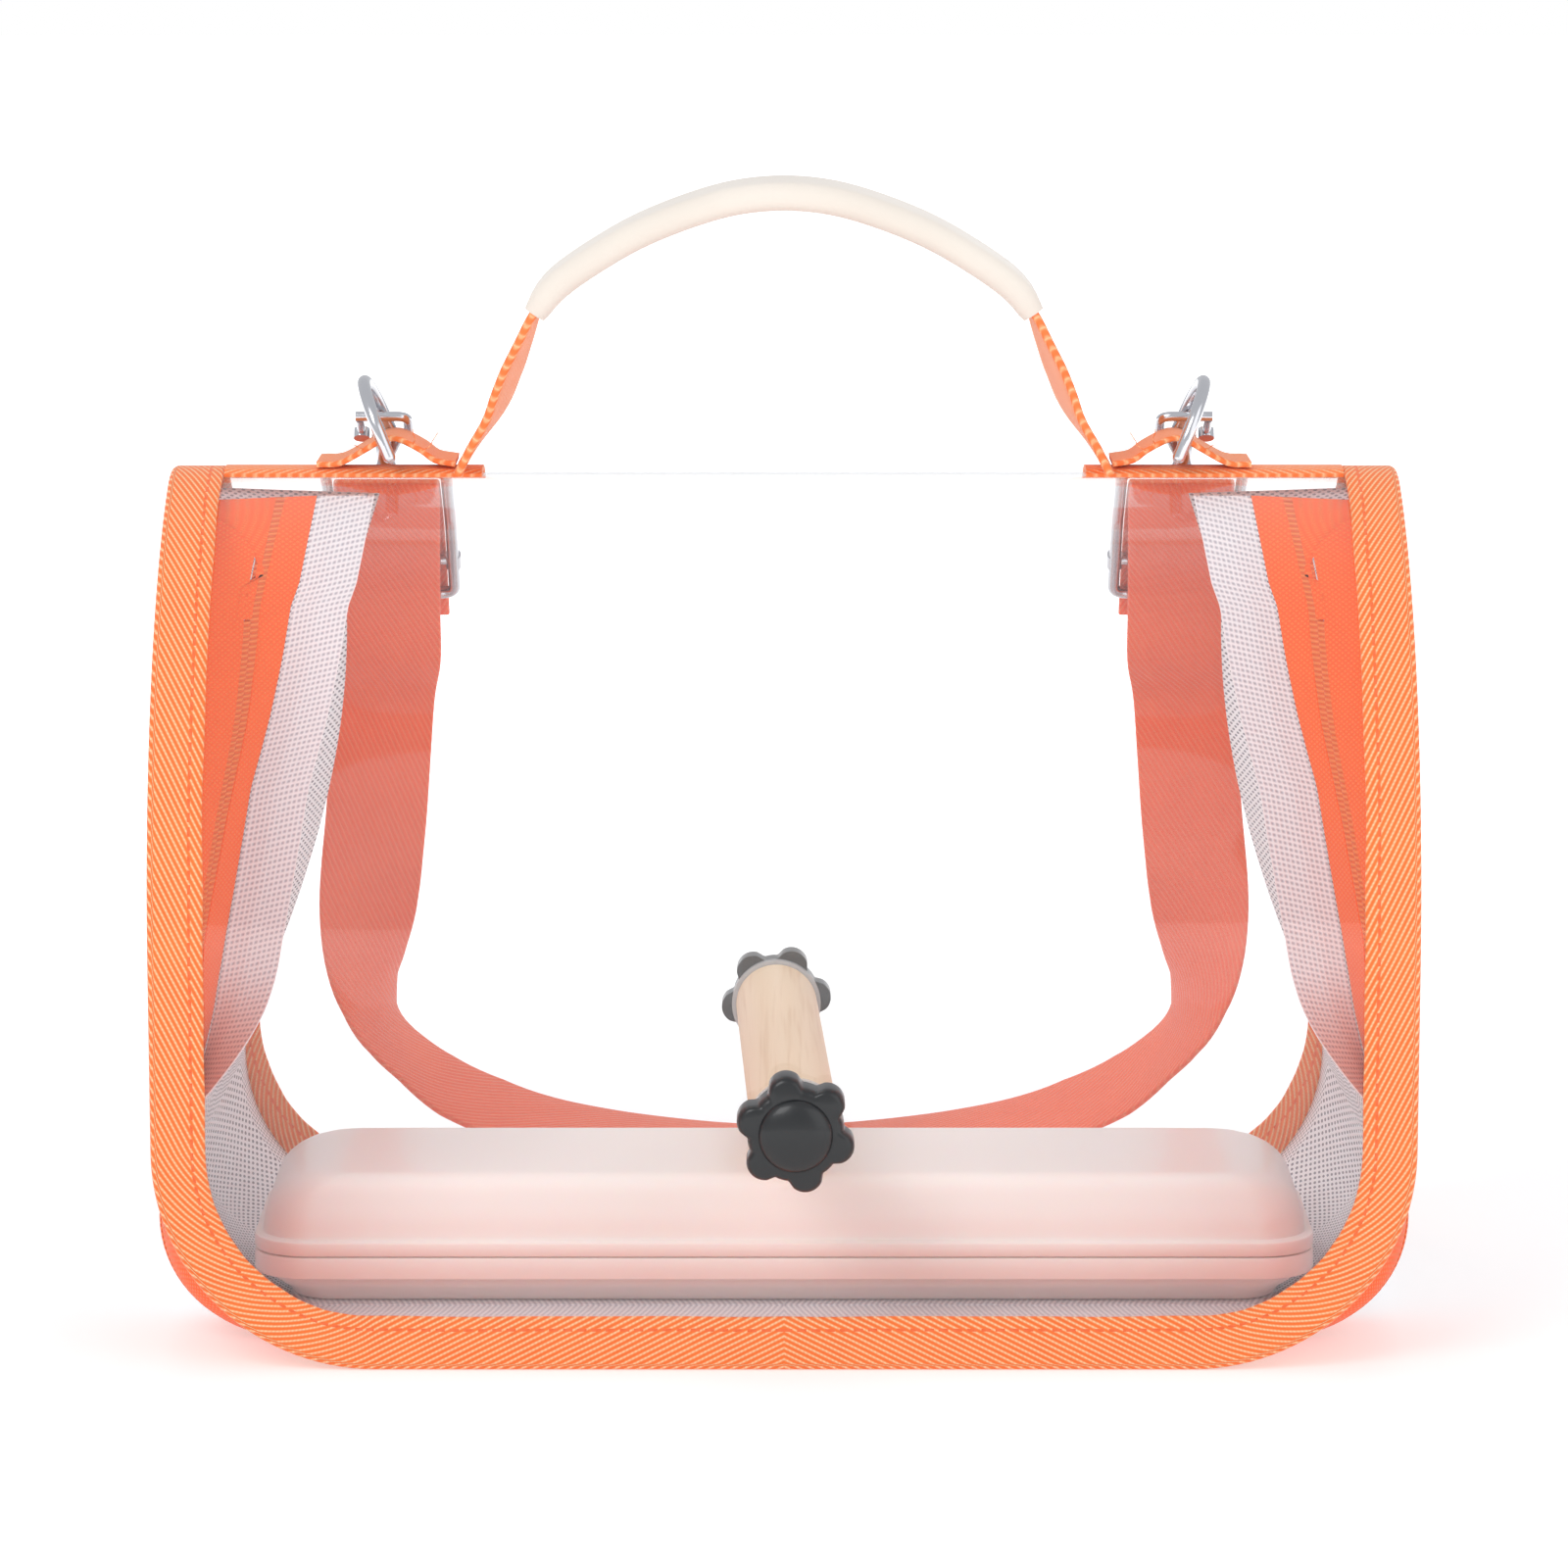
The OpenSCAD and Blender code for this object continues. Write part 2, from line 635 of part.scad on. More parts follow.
module perch() {
    p0 = [perch_x_front, -bag_d / 2, perch_z_front];
    p1 = [perch_x_back, bag_d / 2, perch_z_back];
    color([0.9, 0.8, 0.68]) difference() {
        intersection() {
            rod(p0 - (p1 - p0) / 20, p1 + (p1 - p0) / 20, perch_d);
            translate([-50, -bag_d / 2 + sheet_t + 1, 20]) cube([100, bag_d - 2 * sheet_t - 2, 80]);
        }
        front_place() translate([0, 0, -stud_in]) cylinder(h = stud_in + 8, d = stud_d);
        back_place() translate([0, 0, -stud_in]) cylinder(h = stud_in + 8, d = stud_d);
    }
}

module front_place() {
    translate([perch_x_front, -bag_d / 2, perch_z_front]) rotate([90, 0, 0]) children();
}

module back_place() {
    translate([perch_x_back, bag_d / 2, perch_z_back]) rotate([-90, 0, 0]) children();
}

module perch_studs() {
    color(steel) {
        front_place() translate([0, 0, -stud_in]) cylinder(h = stud_in + stud_out, d = stud_d);
        back_place() translate([0, 0, -stud_in]) cylinder(h = stud_in + stud_out, d = stud_d);
    }
}

module knob() {
    difference() {
        union() {
            translate([0, 0, washer_t]) linear_extrude(insert_h) {
                circle(r = knob_r - lobe_r + 0.5);
                for (k = [0:5]) rotate(60 * k) translate([knob_r - lobe_r, 0]) circle(r = lobe_r);
            }
            intersection() {
                translate([0, 0, washer_t + insert_h]) cylinder(h = 3.2, r = 8.3);
                translate([0, 0, 0.6]) sphere(r = 11.4);
            }
        }
        translate([0, 0, washer_t / 2]) cylinder(h = insert_h + washer_t / 2, d = insert_d);
    }
}

module insert() {
    translate([0, 0, washer_t]) difference() {
        cylinder(h = insert_h, d = insert_d);
        translate([0, 0, -1]) cylinder(h = insert_h + 2, d = stud_d + 0.4);
    }
}

module washer(z, h, hole) {
    translate([0, 0, z]) difference() {
        cylinder(h = h, d = washer_d);
        translate([0, 0, -1]) cylinder(h = h + 2, d = hole);
    }
}

module front_knob() {
    color([0.2, 0.2, 0.21]) front_place() rotate([0, 0, front_turn]) knob();
}

module back_knob() {
    color([0.2, 0.2, 0.21]) back_place() rotate([0, 0, -back_turn]) knob();
}

module front_insert() {
    color([0.8, 0.65, 0.35]) front_place() insert();
}

module back_insert() {
    color([0.8, 0.65, 0.35]) back_place() insert();
}

module front_washer() {
    color(film) front_place() washer(0, washer_t, stud_d + 0.6);
}

module back_washer() {
    color(film) back_place() washer(0, washer_t, stud_d + 0.2);
}

module inner_washers() {
    color(film) {
        front_place() washer(-sheet_t - 1, 1, stud_d);
        back_place() washer(-sheet_t - 1, 1, stud_d);
    }
}

// Box

module plan(w, d, r) {
    square([w - 2 * r, d], center = true);
    square([w, d - 2 * r], center = true);
    for (x = [-1, 1]) for (y = [-1, 1]) translate([x * (w / 2 - r), y * (d / 2 - r)]) circle(r = r);
}

module slab(z0, z1, inset) {
    translate([0, 0, z0]) linear_extrude(z1 - z0) plan(box_w - 2 * inset, box_d - 2 * inset, box_r - inset);
}

// The foot of the box ends at this height, drawn in clear of the bag's rounded lower corners
foot_z = 6;
foot_in = 4.5;

module box_base() {
    color([0.94, 0.86, 0.84]) difference() {
        union() {
            slab(floor_z, foot_z, 4 + foot_in);
            slab(foot_z, 10, 4);
            slab(10, box_split, 0);
            slab(box_split, box_split + 2.6, 4);
        }
        slab(floor_z + box_wall, foot_z + box_wall + 1, 4 + foot_in + box_wall);
        slab(foot_z + box_wall, box_split + 5, 4 + box_wall);
    }
}

// Inset of the lid's body from its rim, and height of that rim
lid_in = 2;
lid_rim = 3.5;

module box_lid() {
    color([0.94, 0.86, 0.84]) difference() {
        union() {
            slab(box_split, box_split + lid_rim, 0);
            slab(box_split + lid_rim, box_top, lid_in);
        }
        slab(box_split - 1, box_top - box_wall, lid_in + box_wall);
    }
}

module placed() {
    translate([0, -mid_y, 0]) children();
}

placed() front_sheet();
placed() back_sheet();
placed() front_binding();
placed() back_binding();
placed() zip_tape_front();
placed() zip_tape_rear();
placed() zip_coil_front();
placed() zip_coil_rear();
placed() zip_slider_upper();
placed() zip_slider_lower();
placed() zip_pull_upper();
placed() zip_pull_lower();
placed() seam_tape();
placed() mesh_left();
placed() mesh_right();
placed() floor_panel();
placed() top_strap();
placed() ring_loops();
placed() handle_webbing();
placed() handle_feet();
placed() handle_grip();
placed() d_ring_left();
placed() d_ring_right();
placed() shoulder_strap();
placed() strap_loops();
placed() snap_hooks();
placed() snap_gate_left();
placed() snap_gate_right();
placed() perch();
placed() perch_studs();
placed() front_knob();
placed() back_knob();
placed() front_insert();
placed() back_insert();
placed() front_washer();
placed() back_washer();
placed() inner_washers();
placed() box_base();
placed() box_lid();
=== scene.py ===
"""Looks of a bird travel carrier: clear film bag, webbing, mesh sides, perch and box."""

import math
import random

import bpy
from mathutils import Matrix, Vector, noise


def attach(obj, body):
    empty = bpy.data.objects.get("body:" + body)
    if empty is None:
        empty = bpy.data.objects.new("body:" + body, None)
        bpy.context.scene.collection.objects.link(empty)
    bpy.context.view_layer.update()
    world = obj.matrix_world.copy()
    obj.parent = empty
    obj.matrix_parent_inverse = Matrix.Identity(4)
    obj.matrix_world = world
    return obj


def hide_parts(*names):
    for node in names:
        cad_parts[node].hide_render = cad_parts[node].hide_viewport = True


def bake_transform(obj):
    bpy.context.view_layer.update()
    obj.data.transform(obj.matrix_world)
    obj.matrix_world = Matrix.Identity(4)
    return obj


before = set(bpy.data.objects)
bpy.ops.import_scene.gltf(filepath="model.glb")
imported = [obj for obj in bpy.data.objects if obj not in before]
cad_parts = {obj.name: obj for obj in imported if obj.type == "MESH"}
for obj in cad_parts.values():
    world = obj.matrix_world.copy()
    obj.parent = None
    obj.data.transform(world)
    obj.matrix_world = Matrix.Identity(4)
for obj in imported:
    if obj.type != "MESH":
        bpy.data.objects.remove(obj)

bl_info = {
    "name": "Bird travel carrier",
    "version": (1, 0, 0),
    "blender": (4, 5, 0),
    "location": "View3D > Sidebar > Carrier",
    "description": "Builds the looks of a clear bird travel carrier over its CAD frame",
    "category": "Object",
}

# Sizes of the bag in millimetres, as in the CAD source
MID_Y = 12.75
HALF_W = 142.5
HALF_D = 75.0
WALL_H = 93.0
ARCH_R = 110.0
CROWN_R = 25.0
CORNER_R = 50.0
BAND_R = 28.0
SHEET_T = 0.8
HINGE_Y = -14.0
CUT_GAP = 0.2
BIND_W = 12.5
BIND_T = 1.2
TAPE_T = 1.0
COIL_W = 2.5
FLANGE_W = 13.0
FOLD_DEPTH = 38.0
FOLD_FROM = 35.0
FOLD_RISE = 125.0
CROWN_FOLD = 8.0
CROWN_FOLD_FROM = 165.0
FOLD_Y = 3.0
WEB_W = 25.0
WEB_T = 1.4
ARC_C = ARCH_R - HALF_D
CROWN_Z = WALL_H + math.sqrt((ARCH_R - CROWN_R) ** 2 - ARC_C**2)
CROWN_A = math.atan2(ARC_C, CROWN_Z - WALL_H)
ARC_LEN = ARCH_R * (math.pi / 2 - CROWN_A)
CROWN_LEN = CROWN_R * 2 * CROWN_A
HALF_LEN = WALL_H + ARC_LEN + CROWN_LEN / 2

ZIP_TABLE = ((0, 0.298), (52, 0.292), (93, 0.278), (120, 0.35), (140, 0.42), (160, 0.46), (190, 0.49))
SEAM_TABLE = (
    (0, 0.542), (52, 0.52), (80, 0.47), (93, 0.47), (112, 0.49), (125, 0.507),
    (140, 0.58), (157, 0.65), (170, 0.7), (190, 0.69),
)

PERCH_FRONT = Vector((2.6, -75.0, 56.0))
PERCH_BACK = Vector((-1.9, 75.0, 54.0))


# Small tools


def unit01(v):
    return min(max(v, 0.0), 1.0)


def mix(a, b, t):
    return a + (b - a) * t


def table_at(table, z):
    """Value of a table at height z, straight between its rows."""
    last = table[0]
    if z <= last[0]:
        return last[1]
    for row in table[1:]:
        if z <= row[0]:
            return mix(last[1], row[1], (z - last[0]) / (row[0] - last[0]))
        last = row
    return last[1]


def placed(p):
    """A point in bag millimetres as metres in the row frame."""
    return Vector((p[0] * 0.001, (p[1] - MID_Y) * 0.001, p[2] * 0.001))


def between(a, b, n):
    """Values from a to b in n even steps."""
    return [mix(a, b, k / n) for k in range(n + 1)]


def steps(a, b, size):
    """Even values from a to b, no further apart than size."""
    return between(a, b, max(1, math.ceil(abs(b - a) / size)))


def build(name, verts, faces, uvs, material, smooth=True):
    """A mesh object from points in bag millimetres."""
    mesh = bpy.data.meshes.new(name)
    mesh.from_pydata([placed(v) for v in verts], [], faces)
    if uvs:
        layer = mesh.uv_layers.new(name="Flat")
        for loop in mesh.loops:
            layer.data[loop.index].uv = uvs[loop.vertex_index]
    mesh.polygons.foreach_set("use_smooth", [smooth] * len(mesh.polygons))
    mesh.materials.append(material)
    mesh.validate()
    mesh.update()
    obj = bpy.data.objects.new(name, mesh)
    bpy.context.scene.collection.objects.link(obj)
    return obj


def sharpen(obj, degrees):
    """Marks the edges that stay crisp in a smooth mesh."""
    obj.data.set_sharp_from_angle(angle=math.radians(degrees))
    return obj


def join_parts(parts):
    """Several (verts, faces, uvs) as one."""
    verts, faces, uvs = [], [], []
    for v, f, t in parts:
        start = len(verts)
        verts += v
        faces += [tuple(i + start for i in face) for face in f]
        uvs += t
    return verts, faces, uvs


def flipped(part):
    """The mirror image of a part across the middle of the bag."""
    verts, faces, uvs = part
    return [Vector((-v[0], v[1], v[2])) for v in verts], [tuple(reversed(f)) for f in faces], uvs


def mirrored(part):
    """A part and its mirror image."""
    return join_parts([part, flipped(part)])


def slab_between(front, back):
    """Closed solid between two grids of points, with flat coordinates in metres."""
    n, k = len(front), len(front[0])
    verts = [p for row in front for p in row] + [p for row in back for p in row]
    middle = k // 2
    uvs, along = [], 0.0
    for i, row in enumerate(front):
        if i:
            along += (Vector(row[middle]) - Vector(front[i - 1][middle])).length
        across = 0.0
        for j, p in enumerate(row):
            if j:
                across += (Vector(p) - Vector(row[j - 1])).length
            uvs.append((along * 0.001, across * 0.001))
    uvs = uvs + uvs
    m = n * k
    faces = []
    for i in range(n - 1):
        for j in range(k - 1):
            a, b, c, d = i * k + j, (i + 1) * k + j, (i + 1) * k + j + 1, i * k + j + 1
            faces.append((a, b, c, d))
            faces.append((m + a, m + d, m + c, m + b))
    for i in range(n - 1):
        faces.append((i * k, m + i * k, m + (i + 1) * k, (i + 1) * k))
        e = i * k + k - 1
        faces.append((e, e + k, m + e + k, m + e))
    for j in range(k - 1):
        faces.append((j, j + 1, m + j + 1, m + j))
        e = (n - 1) * k + j
        faces.append((e, m + e, m + e + 1, e + 1))
    return [Vector(v) for v in verts], faces, uvs


def skin(rings, closed=False, flip=False):
    """Points and faces over rings of equal counts, with a flat cap on each open end."""
    count, n = len(rings), len(rings[0])
    faces = []
    for i in range(count if closed else count - 1):
        after = (i + 1) % count
        for j in range(n):
            k = (j + 1) % n
            faces.append((i * n + j, i * n + k, after * n + k, after * n + j))
    if not closed:
        faces.append(tuple(reversed(range(n))))
        faces.append(tuple((count - 1) * n + j for j in range(n)))
    if flip:
        faces = [(face[0], *reversed(face[1:])) for face in faces]
    return [p for ring in rings for p in ring], faces


def sweep(frames, section, across, closed=False):
    """A section carried along frames of (origin, side, up); across is its flat coordinate."""
    rings, uvs, along = [], [], 0.0
    for i, (origin, side, up) in enumerate(frames):
        if i:
            along += (origin - frames[i - 1][0]).length
        rings.append([origin + side * a + up * b for a, b in section])
        uvs += [(along * 0.001, v * 0.001) for v in across]
    return (*skin(rings, closed), uvs)


def flat_section(width, thick, rounding=None):
    """Outline of a strip with rounded edges."""
    r = thick / 2 if rounding is None else rounding
    out = []
    for cx, cy, start in (
        (width / 2 - r, thick / 2 - r, 0), (-width / 2 + r, thick / 2 - r, 90),
        (-width / 2 + r, -thick / 2 + r, 180), (width / 2 - r, -thick / 2 + r, 270),
    ):
        for a in (0, 30, 60, 90):
            t = math.radians(start + a)
            out.append((cx + r * math.cos(t), cy + r * math.sin(t)))
        if start in (0, 180):
            sign = 1 if start == 0 else -1
            for f in (0.5, 0.0, -0.5):
                out.append((sign * f * (width / 2 - r), sign * thick / 2))
    return out


def spline(points, step):
    """Even points on a smooth curve through the given ones."""
    points = [Vector(p) for p in points]
    out = []
    for k in range(len(points) - 1):
        a = points[max(k - 1, 0)]
        b, c = points[k], points[k + 1]
        d = points[min(k + 2, len(points) - 1)]
        n = max(1, round((c - b).length / step))
        for i in range(n):
            t = i / n
            out.append(
                0.5 * ((2 * b) + (c - a) * t + (2 * a - 5 * b + 4 * c - d) * t**2 + (3 * b - a - 3 * c + d) * t**3)
            )
    out.append(points[-1])
    return out


def rounded_path(points, radius, closed=False, n=6):
    """A path with its corners rounded."""
    points = [Vector(p) for p in points]
    count = len(points)
    out = []
    for k, p in enumerate(points):
        if not closed and k in (0, count - 1):
            out.append(p)
            continue
        a = (points[k - 1] - p)
        b = (points[(k + 1) % count] - p)
        cut = min(radius, a.length * 0.48, b.length * 0.48)
        start, end = p + a.normalized() * cut, p + b.normalized() * cut
        for i in range(n + 1):
            t = i / n
            out.append((1 - t) ** 2 * start + 2 * t * (1 - t) * p + t * t * end)
    return out


def tangent_at(path, k):
    """Direction of a path at its point k."""
    return (path[min(k + 1, len(path) - 1)] - path[max(k - 1, 0)]).normalized()


def tube(path, radius, closed=False, sides=16):
    """A round wire along a path."""
    frames = []
    side = None
    for k, p in enumerate(path):
        tangent = (path[(k + 1) % len(path)] - path[k - 1]).normalized() if closed else tangent_at(path, k)
        if side is None:
            side = tangent.orthogonal().normalized()
        side = (side - tangent * side.dot(tangent)).normalized()
        frames.append((p, side, tangent.cross(side)))
    turns = [2 * math.pi * j / sides for j in range(sides)]
    section = [(radius * math.cos(t), radius * math.sin(t)) for t in turns]
    return sweep(frames, section, [radius * j * 0.4 for j in range(sides)], closed=closed)


def strip_frames(path, side):
    """Frames of a strip whose width lies along one direction."""
    return [(p, side, side.cross(tangent_at(path, k)).normalized()) for k, p in enumerate(path)]


def square_frames(path, sides):
    """Frames of a strip whose width follows the given directions, kept square to the path."""
    out = []
    for k, p in enumerate(path):
        tangent = tangent_at(path, k)
        side = (sides[k] - tangent * sides[k].dot(tangent)).normalized()
        if out and side.dot(out[-1][1]) < 0:
            side = -side
        out.append((p, side, side.cross(tangent)))
    return out


# Shape of the bag, as in the CAD source


def profile_at(s):
    """Point (y, z) and outward normal at length s round the side profile from the front floor edge."""
    if s > HALF_LEN:
        (y, z), (ny, nz) = profile_at(2 * HALF_LEN - s)
        return (-y, z), (-ny, nz)
    if s <= WALL_H:
        return (-HALF_D, s), (-1.0, 0.0)
    s -= WALL_H
    if s <= ARC_LEN:
        a = math.pi - s / ARCH_R
        n = (math.cos(a), math.sin(a))
        return (ARC_C + ARCH_R * n[0], WALL_H + ARCH_R * n[1]), n
    a = math.pi / 2 + CROWN_A - (s - ARC_LEN) / CROWN_R
    n = (math.cos(a), math.sin(a))
    return (CROWN_R * n[0], CROWN_Z + CROWN_R * n[1]), n


def y_at(i, z):
    """Depth of the front profile, inset by i, at height z."""
    if z <= WALL_H:
        return -HALF_D + i
    return ARC_C - math.sqrt(max((ARCH_R - i) ** 2 - (z - WALL_H) ** 2, 0.0))


def fold(z):
    """How far the gusset is folded inward at height z; it tightens under the crown."""
    if z < FOLD_FROM:
        return 0.0
    full = math.sin(math.pi / 2 * unit01((z - FOLD_FROM) / FOLD_RISE))
    return FOLD_DEPTH * full + CROWN_FOLD * unit01((z - CROWN_FOLD_FROM) / 25)


def near(q):
    """0 at the front edge of the band to 1 where it has left the binding."""
    return unit01(q / 0.19)


def rear(q):
    """0 over the gusset to 1 at the back sheet."""
    return unit01((q - 1.45) / 0.37)


def band_hw(q, z):
    """Half width of the band at place q and height z, before the fold."""
    swell = 1.4 * (1 - unit01((z - 50) / 25))
    return HALF_W + swell * near(q) * (1 - rear(q)) - 6.7 * rear(q) * unit01((195.46 - z) / 20)


def band_rad(q):
    """Radius of the lower corner: tight over the gusset, wider at both sheets."""
    return mix(mix(CORNER_R, BAND_R, near(q)), CORNER_R - 8, rear(q))


def start_i(z):
    """How far inside the sheet the band starts: behind the binding, and closer to it near the crown."""
    return BIND_W - 11 * unit01((z - 150) / 40)


def arm_y(z):
    """Depth at which the gusset starts."""
    return y_at(start_i(z), z)


def band_y(q, z):
    """Depth of place q at height z: under 0 is behind the binding, 1 is the fold, 2 is the back sheet."""
    if q < 0:
        return y_at(start_i(z) * (1 + 0.45 * q / 0.085), z)
    if q <= 1:
        return mix(arm_y(z), FOLD_Y, q)
    return mix(FOLD_Y, -y_at(SHEET_T, z) - 0.02, q - 1)


def band_fold(q, z):
    return fold(z) * (0 if q < 0 else q if q <= 1 else 2 - q)


def level(st):
    """Height of a station for the tables, which hold from the corner down as they do at the floor."""
    return st[0] if st[1] == "side" else 0.0


def band(st, q, d):
    """Point of the side and bottom band, on the left: station, place q round the depth, inward offset d."""
    at, kind = st
    if kind == "side":
        return Vector((-band_hw(q, at) + BIND_T + d + band_fold(q, at), band_y(q, at), at))
    lift = 0.3 * near(q)
    if kind == "corner":
        radius = band_rad(q)
        inner = radius - BIND_T - d
        a = math.radians(at)
        return Vector((
            -(band_hw(q, 0) - radius) - inner * math.cos(a), band_y(q, 0), radius + lift - inner * math.sin(a)
        ))
    return Vector((at, band_y(q, 0), BIND_T + lift + d))


def zip_q(z):
    return table_at(ZIP_TABLE, z)


def seam_q(z):
    return table_at(SEAM_TABLE, z)


def arm_len(z):
    """Length of the front half of the gusset, which turns millimetres into places q."""
    return math.hypot(FOLD_Y - arm_y(z), fold(z))


def cut_q(z, y):
    """The place q that lies at depth y."""
    return (y - arm_y(z)) / (FOLD_Y - arm_y(z))


def stations(top, floor=True):
    """Stations from height top down the side, round the lower corner and along the floor."""
    out = [(z, "side") for z in steps(top, 52, 2.5)]
    out += [(a, "corner") for a in steps(0, 90, 5)]
    if floor:
        out += [(x, "floor") for x in (-95, -75, -50, -25, 0)]
    return out


# Materials


def colour(code):
    """A colour written as a hex sRGB code, as linear light."""
    out = []
    for k in (0, 2, 4):
        c = int(code[k:k + 2], 16) / 255
        out.append(c / 12.92 if c <= 0.04045 else ((c + 0.055) / 1.055) ** 2.4)
    return (*out, 1.0)


def add(tree, kind, values=None, **props):
    """Adds a node, sets its options and fills its sockets with values or links."""
    made = tree.nodes.new(kind)
    for key, value in props.items():
        setattr(made, key, value)
    for key, value in (values or {}).items():
        if isinstance(value, bpy.types.NodeSocket):
            tree.links.new(value, made.inputs[key])
        else:
            made.inputs[key].default_value = value
    return made


def blank(name, values):
    """A material with its main shader's values set."""
    mat = bpy.data.materials.new(name)
    mat.use_nodes = True
    shader = mat.node_tree.nodes["Principled BSDF"]
    for key, value in values.items():
        shader.inputs[key].default_value = value
    return mat, mat.node_tree, shader


def flat_coords(tree):
    """Flat coordinates of a cloth piece: along it and across it, in metres."""
    return add(tree, "ShaderNodeUVMap", uv_map="Flat").outputs[0]


def own_coords(tree):
    """Coordinates that stay with the piece."""
    return add(tree, "ShaderNodeTexCoord").outputs["Object"]


def tint(tree, shader, shade):
    """Gives the shader a worked-out colour."""
    tree.links.new(shade, shader.inputs["Base Color"])


def times(tree, a, b, operation="MULTIPLY"):
    return add(tree, "ShaderNodeMath", {0: a, 1: b}, operation=operation).outputs[0]


def blended(tree, factor, a, b):
    """A colour between a and b."""
    made = add(tree, "ShaderNodeMix", {0: factor, 6: a, 7: b}, data_type="RGBA")
    return made.outputs[2]


def stripes(tree, flat, period, angle):
    """Soft stripes from 0 to 1 of one period in millimetres, turned by an angle."""
    turn = math.radians(angle)
    rate = 2 * math.pi / (period * 0.001)
    dot = add(
        tree, "ShaderNodeVectorMath", {0: flat, 1: (rate * math.cos(turn), rate * math.sin(turn), 0.0)},
        operation="DOT_PRODUCT",
    )
    wave = add(tree, "ShaderNodeMath", {0: dot.outputs["Value"]}, operation="SINE").outputs[0]
    return add(tree, "ShaderNodeMapRange", {"Value": wave, "From Min": -1.0, "From Max": 1.0}).outputs[0]


def clouds(tree, coords, scale, detail=3.0):
    return add(tree, "ShaderNodeTexNoise", {"Vector": coords, "Scale": scale, "Detail": detail}).outputs[0]


def bumped(tree, shader, height, depth):
    """Gives the shader a relief of a depth in millimetres."""
    made = add(tree, "ShaderNodeBump", {"Height": height, "Strength": 0.7, "Distance": depth * 0.001})
    tree.links.new(made.outputs[0], shader.inputs["Normal"])


def webbing(name, base, light, deep, stitch_at=()):
    """Woven polyester webbing: diagonal ribs that catch the light, with stitch lines where it is sewn."""
    mat, tree, shader = blank(name, {"Roughness": 0.62, "Sheen Weight": 0.25, "Sheen Roughness": 0.4})
    flat = flat_coords(tree)
    twill = stripes(tree, flat, 1.2, 117)
    yarn = stripes(tree, flat, 0.9, 12)
    weave = times(tree, times(tree, twill, 2.4, "POWER"), times(tree, times(tree, yarn, 0.35), 0.65, "ADD"))
    cloud = clouds(tree, flat, 90.0)
    body = blended(tree, cloud, tuple(base), colour(deep))
    # Painted highlight: the raised ribs of the weave are blended towards the lighter colour, as if lit; the bump
    # gives their relief.
    shade = blended(tree, weave, body, colour(light))
    if stitch_at:
        v = add(tree, "ShaderNodeSeparateXYZ", {0: flat}).outputs[1]
        dash = stripes(tree, flat, 3.2, 0)
        for at in stitch_at:
            row = add(
                tree, "ShaderNodeMath", {0: v, 1: at * 0.001, 2: 0.00035}, operation="COMPARE",
            ).outputs[0]
            on = add(tree, "ShaderNodeMath", {0: dash, 1: 0.25}, operation="GREATER_THAN").outputs[0]
            shade = blended(tree, times(tree, row, on), shade, colour("F26C34"))
    tint(tree, shader, shade)
    bumped(tree, shader, weave, 0.25)
    return mat


def plain_tape(name, base, light, deep):
    """Knitted zip tape: fine cross ribs and a faint chevron, softer than the webbing."""
    mat, tree, shader = blank(name, {"Roughness": 0.7, "Sheen Weight": 0.3, "Sheen Roughness": 0.4})
    flat = flat_coords(tree)
    rib = times(tree, stripes(tree, flat, 1.25, 32), stripes(tree, flat, 0.9, -32))
    cloud = clouds(tree, flat, 60.0)
    # Painted highlight: the ribs are blended towards the lighter colour, as if lit.
    shade = blended(tree, times(tree, rib, 0.8), blended(tree, cloud, tuple(base), colour(deep)), colour(light))
    tint(tree, shader, shade)
    bumped(tree, shader, rib, 0.15)
    return mat


def coil_look():
    """Moulded nylon coil: a close row of turns, deeper in colour than the tape that it is sewn to."""
    mat, tree, shader = blank("nylon_zip_coil", {"Roughness": 0.42})
    flat = flat_coords(tree)
    turn = stripes(tree, flat, 1.3, 0)
    # Painted highlight and shade: each turn is lighter on its crest and darker in the gap to the next.
    tint(tree, shader, blended(tree, turn, colour("EE6020"), colour("FF8A48")))
    bumped(tree, shader, turn, 0.5)
    return mat


def mesh_look():
    """Warp-knitted mesh: pale threads round small holes, so that what is behind it shows faintly."""
    mat, tree, shader = blank("knitted_polyester_mesh", {"Roughness": 0.75, "Sheen Weight": 0.2})
    flat = flat_coords(tree)
    hole = times(tree, stripes(tree, flat, 1.2, 30), stripes(tree, flat, 1.2, -30))
    gap = add(tree, "ShaderNodeMapRange", {"Value": hole, "From Min": 0.3, "From Max": 0.55}).outputs[0]
    # Painted shade: the holes are coloured dark grey, half see-through, for the darkness seen through them.
    tint(tree, shader, blended(tree, gap, colour("F0EDF0"), colour("BDB8C0")))
    clear = add(tree, "ShaderNodeMapRange", {"Value": gap, "To Min": 1.0, "To Max": 0.5}).outputs[0]
    tree.links.new(clear, shader.inputs["Alpha"])
    bumped(tree, shader, gap, -0.3)
    return mat


def white_tape_look():
    """Woven cotton tape that binds the inner seam: fine cross ribs, matt and slightly grey."""
    mat, tree, shader = blank("white_woven_tape", {"Roughness": 0.8, "Sheen Weight": 0.2})
    flat = flat_coords(tree)
    rib = times(tree, stripes(tree, flat, 1.3, 14), times(tree, stripes(tree, flat, 1.1, 90), 0.6, "POWER"))
    # Painted shade: the ribs are blended towards a dark grey, which greys the white tape as if it lay in shadow.
    tint(tree, shader, blended(tree, rib, colour("F3EFF1"), colour("B4AEB8")))
    bumped(tree, shader, rib, 0.2)
    return mat


